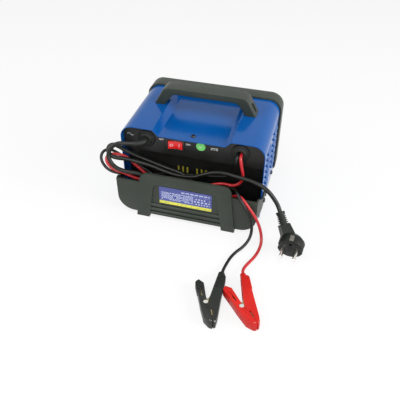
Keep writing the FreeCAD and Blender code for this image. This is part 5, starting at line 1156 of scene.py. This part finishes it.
def split_spring(colour):
    coil = bare_copy(f"{colour}_clamp_spring")
    bpy.context.tool_settings.mesh_select_mode = (False, False, True)
    select_leg(coil, colour)
    bpy.ops.object.mode_set(mode="EDIT")
    bpy.ops.mesh.separate(type="SELECTED")
    bpy.ops.object.mode_set(mode="OBJECT")
    leg = [item for item in bpy.context.selected_objects if item != coil][0]
    close_ends(coil)
    close_ends(leg)
    bpy.context.tool_settings.mesh_select_mode = (True, False, False)
    print(colour, "spring faces:", len(coil.data.polygons), "leg faces:", len(leg.data.polygons))
    seat(coil, f"{colour}_spring_coil", zinc_plate, "charger", "zinc_steel", f"{colour}_clamp_spring")
    seat(leg, f"{colour}_spring_leg", zinc_plate, f"{colour}_clamp_jaw", "zinc_steel")
    return [coil, leg]


springs = {colour: split_spring(colour) for colour in CLAMP_PLACES}

# %% [markdown]
# The meter's dial is a white card behind the needle. Its marks stand on an arc
# round the needle's pivot, every fourth one longer, and numbers stand over
# every second long mark. The needle turns 84 degrees from one end to the other.

# %% Dial of the meter
PIVOT = (42.0, 67.0)
SWING = 84.0
ARC_RADIUS = 25.6
DIAL_MIDDLE = (42.0, 82.0)
DIAL_HALF = (28.6, 19.6)
DIAL_FACE = 75.75
dial_white = grained("dial_white", (0.78, 0.77, 0.72), (0.72, 0.71, 0.66), (0.45, 0.55), 1.2, 0.08)
dial_ink = grained("dial_ink", (0.016, 0.016, 0.018), (0.010, 0.010, 0.012), (0.40, 0.50), 0.8, 0.05)


def on_dial(share, radius):
    """A point over the dial: share goes from 0 at its left end to 1 at its right, as the user sees it."""
    angle = math.radians(SWING / 2 - SWING * share)
    return Vector((PIVOT[0] + radius * math.sin(angle), DIAL_FACE, PIVOT[1] + radius * math.cos(angle)))


def dial_line(points, radius):
    return round_bar("mark", [point * MM for point in points], [radius] * len(points))


card_low = (DIAL_MIDDLE[0] - DIAL_HALF[0], 75.1, DIAL_MIDDLE[1] - DIAL_HALF[1])
card_high = (DIAL_MIDDLE[0] + DIAL_HALF[0], 75.7, DIAL_MIDDLE[1] + DIAL_HALF[1])
seat(round_off(add_block(card_low, card_high), 0.15, 2), "dial_card", dial_white, "charger", "meter_clear")
marks = []
for number in range(25):
    inner, thickness = (21.6, 0.26) if number % 4 == 0 else (23.2, 0.15)
    marks.append(dial_line([on_dial(number / 24, inner), on_dial(number / 24, ARC_RADIUS)], thickness))
marks.append(dial_line([on_dial(step / 40, ARC_RADIUS) for step in range(41)], 0.16))
seat(joined(marks), "dial_marks", dial_ink, "charger", "meter_needle_black")
for number in (0, 4, 8, 12):
    printed_text(str(number), 3.8, on_dial(number / 12, 28.9), FACING_FRONT, f"dial_{number}", dial_ink)
printed_text("A", 5.2, (DIAL_MIDDLE[0], DIAL_FACE, 78.5), FACING_FRONT, "dial_unit", dial_ink)
print("dial marks:", len(marks))

# %% [markdown]
# On the control panel, numbers stand at both ends of each selector, and one to
# three short bars stand under each lamp, to say which is which without words.

# %% Marks on the control panel
for name, x, low_mark, high_mark in (("voltage", -34.0, "6", "12"), ("rate", -74.0, "1", "2")):
    for mark, z in ((low_mark, 74.0), (high_mark, 102.0)):
        text = printed_text(mark, 4.6, (x, FRONT_FACE + INK_LIFT, z), FACING_FRONT, f"{name}_{mark}")
        print(text.name, "height in mm:", round(text.dimensions.z / MM, 1))
for number, x in enumerate((-24.0, -49.0, -74.0)):
    lefts = [x - 2.6 + 2.0 * step for step in range(number + 1)]
    printed_bars(f"lamp_mark_{number}", *(((left, 83.0, 34.4), (left + 1.2, 83.2, 36.4)) for left in lefts))


# %% [markdown]
# Each lead lies free, and the pieces at a clamp's end are gathered in one list: its two grips, the two
# parts of its spring, both levers and its pin.

def clamp_pieces(colour):
    rest = [nodes[f"{colour}_clamp_{part}"] for part in ("fixed_lever", "moving_lever", "pin")]
    return [grips[colour, "fixed"], grips[colour, "moving"]] + springs[colour] + rest


print("pieces on each clamp's lead:", len(clamp_pieces("red")))


# %% [markdown]
# The charger stands on a plain white floor under soft lights. The floor and the
# world add a white of their own for the camera, and for what a shiny surface or
# a clear one shows, so the ground looks white and still keeps the shadow.

# %% Floor and world
def seen_as_background(tree):
    """One for rays from the camera, off shiny surfaces or through clear ones, and nought for the rest."""
    path = tree.nodes.new("ShaderNodeLightPath")
    total = path.outputs["Is Camera Ray"]
    for kind in ("Is Glossy Ray", "Is Transmission Ray"):
        total = reckon(tree, "MAXIMUM", total, path.outputs[kind])
    return total


def make_floor():
    bpy.ops.object.select_all(action="DESELECT")
    bpy.ops.mesh.primitive_plane_add(size=8.0, location=(0.0, 0.0, -0.0002))
    floor = bpy.context.object
    floor.name = "floor"
    material, tree, shader = new_finish("floor_white")
    shader.inputs["Base Color"].default_value = (0.82, 0.82, 0.82, 1.0)
    shader.inputs["Roughness"].default_value = 0.9
    shader.inputs["Specular IOR Level"].default_value = 0.1
    white = tree.nodes.new("ShaderNodeEmission")
    mix = tree.nodes.new("ShaderNodeMixShader")
    tree.links.new(reckon(tree, "MULTIPLY", seen_as_background(tree), 0.8), mix.inputs["Fac"])
    tree.links.new(shader.outputs["BSDF"], mix.inputs[1])
    tree.links.new(white.outputs["Emission"], mix.inputs[2])
    tree.links.new(mix.outputs["Shader"], tree.nodes["Material Output"].inputs["Surface"])
    floor.data.materials.append(material)


def make_world():
    world = bpy.data.worlds.new("studio")
    bpy.context.scene.world = world
    world.use_nodes = True
    tree = world.node_tree
    back = tree.nodes["Background"]
    back.inputs["Color"].default_value = (1.0, 1.0, 1.0, 1.0)
    strength = between(tree, seen_as_background(tree), 0.34, 1.0, 0.0, 1.0)
    tree.links.new(strength, back.inputs["Strength"])


make_floor()
make_world()
bpy.context.scene.view_settings.view_transform = "Standard"
print("floor and world are ready")

# %% [markdown]
# Four square lamps give the soft light: a broad one overhead, one behind the
# camera and one at each side. Each line gives a lamp's place, side and power,
# and all of them face the middle of the case.

# %% Lamps
LAMPS = (
    ("overhead", (-0.2, -0.25, 1.7), 1.6, 10.0),
    ("front", (0.3, -1.5, 1.2), 1.1, 14.0),
    ("left", (-1.3, -0.7, 0.9), 0.9, 8.0),
    ("right", (1.5, -0.3, 0.7), 0.9, 20.0),
)
LAMP_AIM = Vector((0.0, 0.0, 0.05))
for name, place, side, power in LAMPS:
    data = bpy.data.lights.new(name, "AREA")
    data.shape = "SQUARE"
    data.size = side
    data.energy = power
    lamp = bpy.data.objects.new(name, data)
    lamp.location = place
    lamp.rotation_euler = (LAMP_AIM - Vector(place)).to_track_quat("-Z", "Y").to_euler()
    bpy.context.scene.collection.objects.link(lamp)
print("lamps:", len(LAMPS))

# %% [markdown]
